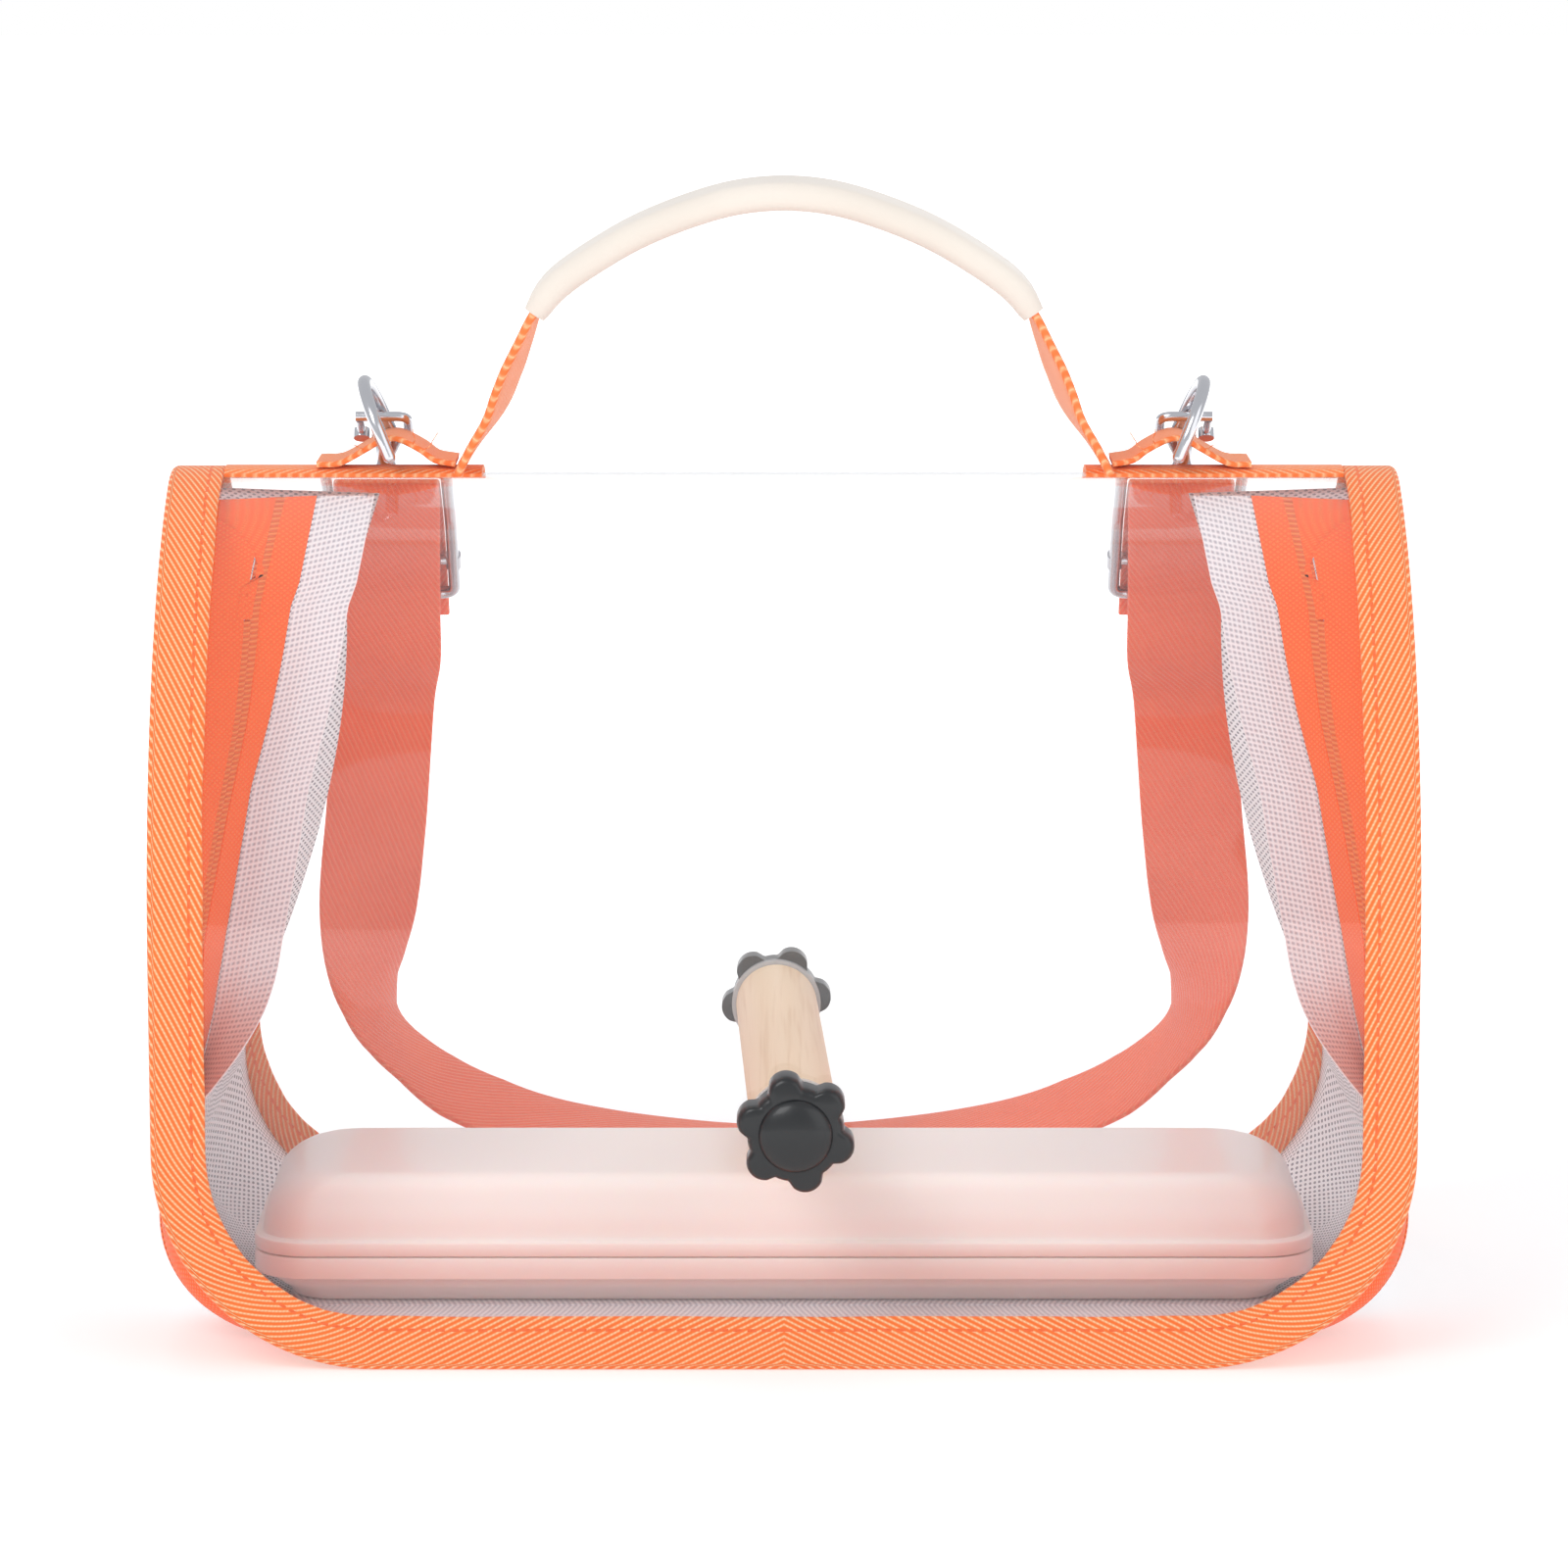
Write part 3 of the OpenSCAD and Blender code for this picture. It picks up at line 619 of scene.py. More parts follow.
def film_look(haze):
    """Clear plastic film: glossy and nearly invisible, with a faint milky haze."""
    mat, tree, shader = blank("clear_pvc_film", {"Base Color": colour("F2F3F5"), "Roughness": 0.3, "Alpha": haze})
    gloss = add(tree, "ShaderNodeBsdfGlossy", {"Color": colour("FFFFFF"), "Roughness": 0.05})
    facing = add(tree, "ShaderNodeLayerWeight", {"Blend": 0.5}).outputs["Facing"]
    edge = times(tree, times(tree, times(tree, facing, 2.5, "POWER"), 0.75), 0.04, "ADD")
    ray = add(tree, "ShaderNodeLightPath")
    passing = times(tree, ray.outputs["Is Shadow Ray"], ray.outputs["Is Diffuse Ray"], "MAXIMUM")
    shine = times(tree, edge, times(tree, 1.0, passing, "SUBTRACT"))
    both = add(tree, "ShaderNodeMixShader", {0: shine, 1: shader.outputs[0], 2: gloss.outputs[0]})
    tree.links.new(both.outputs[0], tree.nodes["Material Output"].inputs["Surface"])
    return mat


def foam_look(base):
    """Moulded foam sleeve with a matt skin: soft sheen and fine pores."""
    mat, tree, shader = blank("foam_grip", {"Roughness": 0.72, "Sheen Weight": 0.35, "Sheen Roughness": 0.5})
    coords = own_coords(tree)
    pores = clouds(tree, coords, 900.0)
    cloud = clouds(tree, coords, 45.0)
    tint(tree, shader, blended(tree, cloud, tuple(base), colour("E0D6CA")))
    bumped(tree, shader, pores, 0.08)
    return mat


def metal_look(name, base, rough):
    """Plated steel: polished, with a faint uneven roughness from handling."""
    mat, tree, shader = blank(name, {"Metallic": 1.0, "Base Color": colour(base)})
    coords = own_coords(tree)
    worn = clouds(tree, coords, 220.0)
    made = add(tree, "ShaderNodeMapRange", {"Value": worn, "To Min": rough * 0.7, "To Max": rough * 1.5})
    tree.links.new(made.outputs[0], shader.inputs["Roughness"])
    return mat


def wood_look():
    """Turned beech: long pale grain along the perch and short dark flecks."""
    mat, tree, shader = blank("turned_beech", {"Roughness": 0.55})
    coords = own_coords(tree)
    along = add(tree, "ShaderNodeVectorMath", {0: coords, 1: (1.0, 0.02, 1.0)}, operation="MULTIPLY").outputs[0]
    grain = clouds(tree, along, 700.0, 5.0)
    ring = clouds(tree, along, 160.0, 2.0)
    shade = blended(tree, ring, colour("F2DDC2"), colour("E6CAA6"))
    fleck = add(tree, "ShaderNodeMapRange", {"Value": grain, "From Min": 0.52, "From Max": 0.75}).outputs[0]
    tint(tree, shader, blended(tree, times(tree, fleck, 0.45), shade, colour("CDA67C")))
    bumped(tree, shader, grain, 0.1)
    return mat


def moulded_look(name, base, other, rough, coat=0.0):
    """Moulded plastic: even colour with a slight cloudiness and a fine surface grain."""
    mat, tree, shader = blank(name, {"Roughness": rough, "Coat Weight": coat, "Coat Roughness": 0.1})
    coords = own_coords(tree)
    cloud = clouds(tree, coords, 35.0)
    tint(tree, shader, blended(tree, cloud, tuple(base), colour(other)))
    bumped(tree, shader, clouds(tree, coords, 700.0), 0.03)
    return mat


def box_look(base):
    """Thin cream polypropylene that lets some light through, with a satin face."""
    mat, tree, shader = blank("cream_polypropylene", {
        "Roughness": 0.38, "Subsurface Weight": 0.1, "Subsurface Scale": 0.003, "Coat Weight": 0.15,
    })
    coords = own_coords(tree)
    cloud = clouds(tree, coords, 25.0)
    tint(tree, shader, blended(tree, cloud, tuple(base), colour("FAEEE8")))
    return mat


LOOKS = {}


def look(name):
    return LOOKS[name]


def carry(obj, body, slot_name, *nodes):
    """Ties a finished piece to its CAD body, the nodes it stands for and its material slot."""
    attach(obj, body)
    if nodes:
        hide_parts(*nodes)


def piece(name, part, finish, crisp, body, slot_name, *nodes):
    """Builds a piece with its crisp edges and ties it to its body; by itself it stands for its own node."""
    obj = sharpen(build(name, *part, look(finish)), crisp)
    carry(obj, body, slot_name, *(nodes or (name,)))
    return obj


def bend(obj, a, b, start, end, slot_name, *nodes):
    """Ties a finished piece that bends between two bodies."""
    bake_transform(obj)
    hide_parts(*nodes)


def paint_nodes(names, material):
    """Gives CAD nodes that stay in view their material."""
    for name in names:
        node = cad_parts[name]
        node.data.materials.clear()
        node.data.materials.append(material)


# Pieces


FILM_COLS = 97
FLAP_BEND = ((0, -12.8, 192.8), (0, -24, 192.8))


def make_film():
    """One sheet of film up the front, over the top and down the back, with a hole for the perch stud."""
    verts, uvs = [], []
    for s in steps(BIND_T, 2 * HALF_LEN - BIND_T, 2.6):
        (y, z), (ny, nz) = profile_at(s)
        half = HALF_W - BIND_T
        if z < CORNER_R:
            half = HALF_W - CORNER_R + math.sqrt(max((CORNER_R - BIND_T) ** 2 - (CORNER_R - z) ** 2, 0.0))
        for k in range(FILM_COLS):
            x = half * (2 * k / (FILM_COLS - 1) - 1)
            edge = unit01((half - abs(x)) / 22) * unit01((z - 8) / 20)
            middle = unit01((math.hypot(x, z - 55) - 16) / 25) * unit01((abs(y) - 15) / 12)
            flat = unit01((165 - z) / 25)
            wave = noise.noise(Vector((x * 0.012, y * 0.02, z * 0.016))) + 0.5
            off = -0.5 * unit01(wave) * edge * middle * flat - SHEET_T / 2
            verts.append(Vector((x, y + ny * off, z + nz * off)))
            uvs.append((s * 0.001, x * 0.001))
    hole = [
        math.hypot(v[0] - PERCH_FRONT[0], v[2] - PERCH_FRONT[2]) < 4.6 and v[1] < 0 for v in verts
    ]
    faces = []
    for i in range(len(verts) // FILM_COLS - 1):
        for j in range(FILM_COLS - 1):
            a = i * FILM_COLS + j
            face = (a, a + 1, a + FILM_COLS + 1, a + FILM_COLS)
            if not all(hole[k] for k in face):
                faces.append(face)
    film = build("film", verts, faces, uvs, look("film"))
    bend(film, "carrier", "front_flap", FLAP_BEND[0], FLAP_BEND[1], "clear_film", "front_sheet", "back_sheet")


def binding_section():
    """Outline of the folded binding: (outward along the sheet, off the sheet), and its flat coordinate."""
    r = 1.6
    out = [(-BIND_W + 0.3, 0.0), (-BIND_W, 0.35), (-BIND_W, 0.85), (-BIND_W + 0.35, BIND_T)]
    out += [(x, BIND_T) for x in (-10.4, -8.2, -6.0, -3.8)]
    for a in (90, 70, 50, 30, 10, 0):
        t = math.radians(a)
        out.append((-r + r * math.cos(t), BIND_T - r + r * math.sin(t)))
    out += [(0.0, n) for n in (-3.0, -5.4, -7.8, -10.2)]
    out += [(0.0, -BIND_W + 0.35), (-0.35, -BIND_W), (-0.85, -BIND_W), (-BIND_T, -BIND_W + 0.35)]
    out += [(-BIND_T, n) for n in (-9.0, -5.0, -1.0, -0.1)]
    out += [(-BIND_T - 0.1, 0.0), (-6.0, 0.0)]
    across = []
    for x, n in out:
        across.append(BIND_W + x if n > -0.05 and x < -1.25 else BIND_W + (BIND_T - n))
    return out, across


def make_binding():
    """Folded webbing round the whole edge of the film, pulled into small ripples where it turns the corners."""
    section, across = binding_section()
    left = []
    for x in steps(0, -(HALF_W - CORNER_R), 4):
        left.append((Vector((x, -HALF_D, 0)), Vector((0, 0, -1)), Vector((0, -1, 0))))
    for a in steps(90, 0, 3)[1:]:
        t = math.radians(a)
        e = Vector((-math.cos(t), 0, -math.sin(t)))
        centre = Vector((-(HALF_W - CORNER_R), -HALF_D, CORNER_R))
        left.append((centre + e * CORNER_R, e, Vector((0, -1, 0))))
    for s in steps(CORNER_R, HALF_LEN, 3)[1:]:
        (y, z), (ny, nz) = profile_at(s)
        left.append((Vector((-HALF_W, y, z)), Vector((-1, 0, 0)), Vector((0, ny, nz))))
    turn_y = Vector((1, -1, 1))
    loop = left + [(o * turn_y, e * turn_y, n * turn_y) for o, e, n in reversed(left[:-1])]
    rings, uvs, along = [], [], 0.0
    for i, (o, e, n) in enumerate(loop):
        if i:
            along += (o - loop[i - 1][0]).length
        ring = []
        corner = unit01(abs(e[0]) * 4) * unit01(abs(e[2]) * 4) if abs(e[2]) > 0.01 else 0.0
        for (a, b), v in zip(section, across):
            inner = unit01((-a - 3) / 9)
            ripple = math.sin(along * 1.75) * 0.22 * corner * inner
            sway = noise.noise(Vector((along * 0.05, v * 0.05, 3.0))) * 0.35 * inner
            lift = ripple if b > 0.3 else 0.0
            ring.append(o + e * (a + sway) + n * (b + lift))
            uvs.append((along * 0.001, v * 0.001))
        rings.append(ring)
    edge = mirrored((*skin(rings, flip=True), uvs))
    obj = sharpen(build("binding", *edge, look("binding")), 60)
    bend(obj, "carrier", "front_flap", FLAP_BEND[0], FLAP_BEND[1], "orange_webbing", "front_binding", "back_binding")


def side_slab(sts, places, d0, d1):
    """A left-hand piece of the band between two inward offsets; places gives the q values of a station."""
    rows0 = [[band(st, q, d0) for q in places(st)] for st in sts]
    rows1 = [[band(st, q, d1) for q in places(st)] for st in sts]
    return slab_between(rows1, rows0)


FRONT_TAPE_TOP = 188
SEAM_TOP = 190
ZIP_TOP = 163
COIL_MID = 1.1
COIL_EDGE = 0.75


def make_zip():
    """Zip tapes and coils on both sides of the opening; the front half goes with the flap."""
    def flap_end(st):
        z = level(st)
        end = zip_q(z) - COIL_W / arm_len(z)
        return min(end, cut_q(z, HINGE_Y)) if z > 150 else end

    def front_places(st):
        return [-0.085, -0.04, 0] + between(0.05, flap_end(st), 5)

    front = side_slab(stations(FRONT_TAPE_TOP), front_places, 0, TAPE_T)
    piece("zip_tape_front", mirrored(front), "tape", 50, "front_flap", "orange_tape")

    def rear_places(st):
        z = level(st)
        return between(zip_q(z) + COIL_W / arm_len(z), seam_q(z), 4)

    def corner_places(st):
        z = level(st)
        start = max(-0.05, cut_q(z, HINGE_Y + CUT_GAP)) if z > 171 else zip_q(z) - 2 * COIL_W / arm_len(z)
        return between(start, zip_q(z) + 0.05 / arm_len(z), 4)

    rear_part = side_slab(stations(SEAM_TOP), rear_places, 0, TAPE_T)
    top_part = side_slab([(z, "side") for z in steps(SEAM_TOP, ZIP_TOP + 0.5, 2.5)], corner_places, 0, TAPE_T)
    piece("zip_tape_rear", mirrored(join_parts([rear_part, top_part])), "tape", 50, "carrier", "orange_tape")

    def coil(side, top):
        def places(st):
            z = level(st)
            a, b = 0.06 / arm_len(z), COIL_W / arm_len(z)
            return [zip_q(z) + side * a, zip_q(z) + side * (a + b) / 2, zip_q(z) + side * b]
        rows0, rows1 = [], []
        for st in stations(top):
            near_q, mid_q, far_q = places(st)
            order = (near_q, mid_q, far_q) if side > 0 else (far_q, mid_q, near_q)
            rows0.append([band(st, q, -COIL_MID if q == mid_q else -COIL_EDGE) for q in order])
            rows1.append([band(st, q, COIL_MID if q == mid_q else COIL_EDGE) for q in order])
        return slab_between(rows1, rows0)

    piece("zip_coil_front", mirrored(coil(-1, ZIP_TOP)), "coil", 60, "front_flap", "orange_tape")
    piece("zip_coil_rear", mirrored(coil(1, SEAM_TOP)), "coil", 60, "carrier", "orange_tape")
    paint_nodes(["zip_slider_upper", "zip_slider_lower", "zip_pull_upper", "zip_pull_lower"], look("steel"))


FLOOR_T = 1.5
# The tape lies flatter beside the box than it does up the sides
LOW_TAPE = 0.4


def make_sides():
    """Folded mesh gussets, the white tape on their front seam and the floor panel."""
    def mesh_places(st):
        return between(seam_q(level(st)), 1, 8) + between(1, 2, 16)[1:]

    part = side_slab(stations(SEAM_TOP, floor=False), mesh_places, 0, TAPE_T)
    for name, side in (("mesh_left", part), ("mesh_right", flipped(part))):
        carry(build(name, *side, look("mesh")), "carrier", "white_mesh", name)

    def tape_rows(thick):
        rows = []
        for st in stations(SEAM_TOP):
            at, kind = st
            turn = math.radians(90 * (1 - unit01((at - 50) / 35)) if kind == "side" else 90)
            slope = math.radians(at if kind == "corner" else 0)
            inward = Vector((0, 0, 1)) if kind == "floor" else Vector((math.cos(slope), 0, math.sin(slope)))
            lay = inward * math.cos(turn) - Vector((0, 1, 0)) * math.sin(turn)
            up = inward * math.sin(turn) + Vector((0, 1, 0)) * math.cos(turn)
            full = 1.0 if kind == "side" else LOW_TAPE
            base = band(st, seam_q(level(st)), TAPE_T + 0.3 * math.cos(turn))
            rows.append([
                base + lay * w + up * full * (thick + 0.12 * math.sin(w * 0.9)) for w in steps(0, FLANGE_W, 2.2)
            ])
        return rows

    tape = slab_between(tape_rows(0.44), tape_rows(0.0))
    piece("seam_tape", mirrored(tape), "white_tape", 60, "carrier", "white_tape")
    floor_part = side_slab(
        [(90, "corner"), (-60, "floor"), (-30, "floor"), (0, "floor")],
        lambda st: between(seam_q(0), 2, 12), 0, FLOOR_T,
    )
    piece("floor_panel", mirrored(floor_part), "white_tape", 50, "carrier", "white_tape")


# Side views (x, z) of the left ring loop and of the left half of the handle
HUMP = (
    (-107, 197.6), (-103, 197.9), (-97.5, 200.8), (-93.5, 203.1), (-91, 203.7), (-88.5, 203.2),
    (-84, 200.8), (-81, 198.6), (-77.5, 197.9),
)
HANDLE = (
    (-75.4, 195.9), (-74.6, 197.4), (-71.9, 202), (-67.3, 209), (-63.8, 217.5), (-60.3, 226),
    (-57.4, 233), (-53.4, 238.4), (-46.4, 243.8), (-35, 250.6), (-23.2, 255.6), (-11.5, 259),
)


def thread(start, direction, length, seed):
    """A loose end of yarn."""
    rng = random.Random(seed)
    path, p, d = [Vector(start)], Vector(start), Vector(direction).normalized()
    for _ in range(5):
        d = (d + Vector((rng.uniform(-0.5, 0.5), rng.uniform(-0.3, 0.3), rng.uniform(-0.2, 0.4)))).normalized()
        p = p + d * length / 5
        path.append(p.copy())
    return tube(spline(path, 0.5), 0.11, sides=5)


STRAP_END = 70.0
STRAP_FRONT = -6.0


def make_top():
    """The strap along the crown, which ends at the handle, and the raised loops that hold the rings."""
    rows_out, rows_in = [], []
    for x in steps(-(HALF_W - BIND_W - 0.2), -STRAP_END, 4):
        row_out, row_in = [], []
        for s in steps(HALF_LEN + STRAP_FRONT, HALF_LEN + 12.6, 1.4):
            (y, z), (ny, nz) = profile_at(s)
            edge = unit01(min(12.6 - s + HALF_LEN, s - HALF_LEN - STRAP_FRONT) / 0.7)
            thick = mix(0.85, WEB_T, edge)
            row_out.append(Vector((x, y + ny * thick, z + nz * thick)))
            row_in.append(Vector((x, y + ny * 0.03, z + nz * 0.03)))
        rows_out.append(row_out)
        rows_in.append(row_in)
    piece("top_strap", mirrored(slab_between(rows_out, rows_in)), "webbing", 50, "carrier", "orange_webbing")

    path = [Vector((x, 0, z)) for x, z in HUMP]
    path = spline([Vector((-108.4, 0, 197.5))] + path + [Vector((-76.2, 0, 197.7))], 1.2)
    path = [p + Vector((0, 3.5, 0)) for p in path]
    section = flat_section(WEB_W - 7, 1.4, 0.6)
    part = sweep(strip_frames(path, Vector((0, 1, 0))), section, [a for a, _ in section])
    threads = [
        thread((-86, -5.4, 202.2), (0.4, -0.5, 0.5), 5, 3), thread((-84, -5.4, 200.9), (0.8, -0.4, 0.2), 6, 5),
        thread((-97, -5.4, 201.2), (-0.6, -0.5, 0.3), 4, 8),
    ]
    piece("ring_loops", mirrored(join_parts([part] + threads)), "webbing", 50, "carrier", "orange_webbing")


def handle_path(first, last, step):
    line = [Vector((x, 0, z)) for x, z in HANDLE] + [Vector((0, 0, 260.1))]
    line += [Vector((-p[0], 0, p[2])) for p in reversed(line[:-1])]
    return spline(line[first:last + 1], step)


HANDLE_STEP = 2.0
LEG_TWIST = 8.0
GRIP_ENDS = (0.8, 0.9, 0.96, 0.99)


def make_handle():
    """The webbing of the carrying handle and the foam sleeve round its grip."""
    section = flat_section(WEB_W, 2.0, 0.8)
    path = handle_path(0, 24, HANDLE_STEP)
    sides = []
    for p in path:
        twist = math.radians(LEG_TWIST) * unit01((p[2] - 197) / 16) * unit01((236 - p[2]) / 16)
        sides.append(Vector((math.copysign(math.sin(twist), -p[0]), math.cos(twist), 0)))
    part = sweep(square_frames(path, sides), section, [a for a, _ in section])
    web = build("handle_webbing", *part, look("webbing"))
    sharpen(web, 50)
    bend(web, "carrier", "handle", (0, 0, 199), (0, 0, 214), "orange_webbing", "handle_webbing", "handle_feet")

    section = flat_section(WEB_W + 3, 6.6, 2.6)
    frames = strip_frames(handle_path(6, 18, HANDLE_STEP), Vector((0, 1, 0)))
    rings, uvs = [], []
    for i, (o, s, u) in enumerate(frames):
        end = min(i, len(frames) - 1 - i)
        size = GRIP_ENDS[end] if end < len(GRIP_ENDS) else 1.0
        rings.append([o + s * a * mix(1, size, 0.35) + u * b * size for a, b in section])
        uvs += [((i + 1) * HANDLE_STEP * 0.001, a * 0.001) for a, _ in section]
    grip = piece("handle_grip", (*skin(rings), uvs), "foam", 60, "handle", "cream_foam")


RING_X = 91.0
LEAN = math.radians(22)
HOOK_RISE = 4.6
HOOK_IN = 5.6
HOOK_HALF = 4.7
HOOK_TILT = math.radians(58)
HOOK_C = Vector((-RING_X - HOOK_RISE * math.sin(LEAN) - 1, 14.2, 200.4 + HOOK_RISE * math.cos(LEAN)))
LOOP_X = -94.0
LOOP_HALF = 14.25
CLAW_WIRE = 1.15
LOOP_WIRE = 1.42
BAR_WIRE = 1.2
SLEEVE_R = 1.95


def hook_pt(x, u):
    return HOOK_C + Vector((x, -u * math.sin(HOOK_TILT), u * math.cos(HOOK_TILT)))


def over_back(y, off):
    """Point (y, z) a given distance off the back arch."""
    a = math.acos((y + ARC_C) / ARCH_R)
    return (-ARC_C + (ARCH_R + off) * math.cos(a), WALL_H + (ARCH_R + off) * math.sin(a))


def at_x(x, yz):
    return Vector((x, yz[0], yz[1]))


BAR_A = over_back(17.6, 4)
BAR_K = over_back(37, 3.5)
BAR_M = over_back(47.5, 3.5)
BAR_B = over_back(54.5, 3.6)


def make_metal():
    """Snap hooks and rectangular loops of bent wire, and the rings and gates that stay as they are."""
    claw = [
        hook_pt(-HOOK_IN - 0.9, HOOK_HALF), hook_pt(HOOK_IN, HOOK_HALF), hook_pt(HOOK_IN, -HOOK_HALF),
        hook_pt(-HOOK_IN + 2.4, -HOOK_HALF),
    ]
    parts = [tube(rounded_path(claw, 2.6), CLAW_WIRE)]
    low, high = at_x(HOOK_C[0], BAR_A), hook_pt(0, -HOOK_HALF)
    d = (high - low).normalized()
    side = d.orthogonal().normalized()
    round_way = [(math.cos(math.pi * j / 10), math.sin(math.pi * j / 10)) for j in range(20)]
    post = (
        (low + d * 1.5, 2.0), (low + d * 1.8, 2.5), (high - d * 2.0, 2.5), (high - d * 1.0, 2.0), (high, 1.1),
    )
    verts, faces = skin([[p + side * a * r + d.cross(side) * b * r for a, b in round_way] for p, r in post])
    parts.append((verts, faces, [(0.0, 0.0)] * len(verts)))
    piece("snap_hooks", mirrored(join_parts(parts)), "steel", 50, "strap", "steel")

    corners = []
    for x, places in ((LOOP_X - LOOP_HALF, (BAR_A, BAR_K, BAR_B)), (LOOP_X + LOOP_HALF, (BAR_B, BAR_K, BAR_A))):
        corners += [at_x(x, p) for p in places]
    parts = [tube(rounded_path(corners, 3.2, closed=True), LOOP_WIRE, closed=True)]
    bar = [at_x(LOOP_X + reach, BAR_M) for reach in (0.4 - LOOP_HALF, 0.0, LOOP_HALF - 0.4)]
    parts.append(tube(bar, BAR_WIRE))
    along_leg = (at_x(0, BAR_B) - at_x(0, BAR_K)).normalized()
    for x in (LOOP_X - LOOP_HALF, LOOP_X + LOOP_HALF):
        sleeve = [at_x(x, BAR_M) + along_leg * reach for reach in (-2.1, -1.9, 1.9, 2.1)]
        parts.append(tube(sleeve, SLEEVE_R))
    piece("strap_loops", mirrored(join_parts(parts)), "steel", 50, "strap", "steel")
    paint_nodes(["d_ring_left", "d_ring_right", "snap_gate_left", "snap_gate_right"], look("steel"))


STRAP_STEP = 2.0
# Lower run of the shoulder strap: points of its centre line and the direction of its width
STRAP_LOW = (
    ((-98.5, 77, 131), (1, 0, 0)), ((-99.8, 80, 116), (1, 0, 0)), ((-101, 82, 101), (1, 0, 0)),
    ((-102.5, 84, 87), (1, 0.05, 0)), ((-103.6, 86, 76), (0.95, 0.3, 0)), ((-104.3, 88, 64), (0.77, 0.64, 0)),
    ((-103.6, 90, 53.5), (0.5, 0.86, 0)), ((-100.5, 92, 44), (0.32, 0.94, 0)),
    ((-94.5, 94, 36.5), (0.25, 0.95, 0.12)), ((-85, 96, 28.5), (0.2, 0.93, 0.3)), ((-72, 98, 22), (0.12, 0.93, 0.35)),
    ((-58, 99, 18.2), (0.06, 0.96, 0.25)), ((-40, 100, 15.6), (0.03, 0.98, 0.15)), ((-20, 100, 14.1), (0, 1, 0.08)),
    ((0, 100, 13.7), (0, 1, 0)),
)


def make_strap():
    """The shoulder strap: threaded through its loops and hanging in a sling behind the bag."""
    points, widths = [], []
    for y, off in ((59, 5.9), (50, 5.9), (40, 5.5), (30, 4.8), (24.5, 4.2), (21.7, 3.3), (21.2, 2.3), (22.2, 1.4)):
        points.append(at_x(LOOP_X, over_back(y, off)))
        widths.append(Vector((1, 0, 0)))
    for y, off in ((25, 1.2), (33, 1.2), (41, 1.2), (49, 1.2), (57, 1.3), (64, 1.8)):
        points.append(at_x(LOOP_X - (y - 25) * 0.06, over_back(y, off)))
        widths.append(Vector((1, 0, 0)))
    for p, w in STRAP_LOW:
        points.append(Vector(p))
        widths.append(Vector(w).normalized())
    fine, sides = [], []
    for k in range(len(points) - 1):
        stretch = spline(points[max(k - 1, 0):k + 3], STRAP_STEP)
        start = 0 if k == 0 else round((points[k] - points[k - 1]).length / STRAP_STEP) or 1
        n = max(1, round((points[k + 1] - points[k]).length / STRAP_STEP))
        for i in range(n):
            fine.append(stretch[start + i])
            sides.append(mix(widths[k], widths[k + 1], i / n).normalized())
    other = [Vector((-p[0], p[1], p[2])) for p in reversed(fine)]
    other_sides = [Vector((-w[0], w[1], w[2])) for w in reversed(sides)]
    frames = square_frames(fine + [points[-1]] + other, sides + [Vector((0, 1, 0))] + other_sides)
    section = flat_section(WEB_W, 1.5, 0.6)
    part = sweep(frames, section, [a for a, _ in section])
    ends = []
    for sign in (-1, 1):
        for k in range(5):
            spot = at_x(sign * (abs(LOOP_X) - 9 + 4.5 * k), over_back(59, 5.9))
            ends.append(thread(spot, (0.2 * k - 0.4, 0.6, -0.6), 2.5 + k % 3, 20 + k + sign))
    piece("shoulder_strap", join_parts([part] + ends), "sling", 50, "strap", "orange_webbing")


# Heights of a knob's rings above the film and how far each is inside the star outline
KNOB_RINGS = ((0.8, 0.0), (1.4, 0.0), (2.2, 0.0), (6.6, 0.0), (7.9, 0.35), (8.55, 0.9), (8.8, 1.6))
LOBE_R = 4.1
LOBE_OUT = 9.5
KNOB_CORE = 10.0
KNOB_VALLEY = 10.9
KNOB_SIDES = 144


def lobe_radius(t, inset):
    """Radius of the star outline at angle t: six round lobes with softened valleys between them."""
    step = math.pi / 3
    phi = abs((t + step / 2) % step - step / 2)
    under = LOBE_R**2 - (LOBE_OUT * math.sin(phi)) ** 2
    lobe = LOBE_OUT * math.cos(phi) + math.sqrt(under) if under > 0 else KNOB_CORE
    valley = unit01((phi - math.radians(16)) / math.radians(9))
    return mix(max(lobe, KNOB_CORE), KNOB_VALLEY, valley) - inset


def make_knob(name, base, axis, turn, body):
    """A six-lobed hand nut with rounded edges, a low cap and a bore for its insert."""
    side = Vector((1, 0, 0))
    up = axis.cross(side)

    def ring(z, radius):
        out = []
        for j in range(KNOB_SIDES):
            t = 2 * math.pi * j / KNOB_SIDES
            r = radius(t)
            out.append(base + axis * z + side * r * math.cos(t + turn) + up * r * math.sin(t + turn))
        return out

    rings = [ring(8.4, lambda t: 0.05), ring(8.4, lambda t: 4.0), ring(0.8, lambda t: 4.0)]
    for z, inset in KNOB_RINGS:
        rings.append(ring(z, lambda t, inset=inset: lobe_radius(t, inset)))
    rings.append(ring(8.85, lambda t: 8.7))
    for k in range(9):
        a = math.radians(90 * k / 9)
        rings.append(ring(8.9 + 3.1 * math.sin(a), lambda t, a=a: 8.3 * math.cos(a) + 0.02))
    rings.append(ring(12.0, lambda t: 0.05))
    piece(name, (*skin(rings), None), "knob", 42, body, "charcoal_plastic")


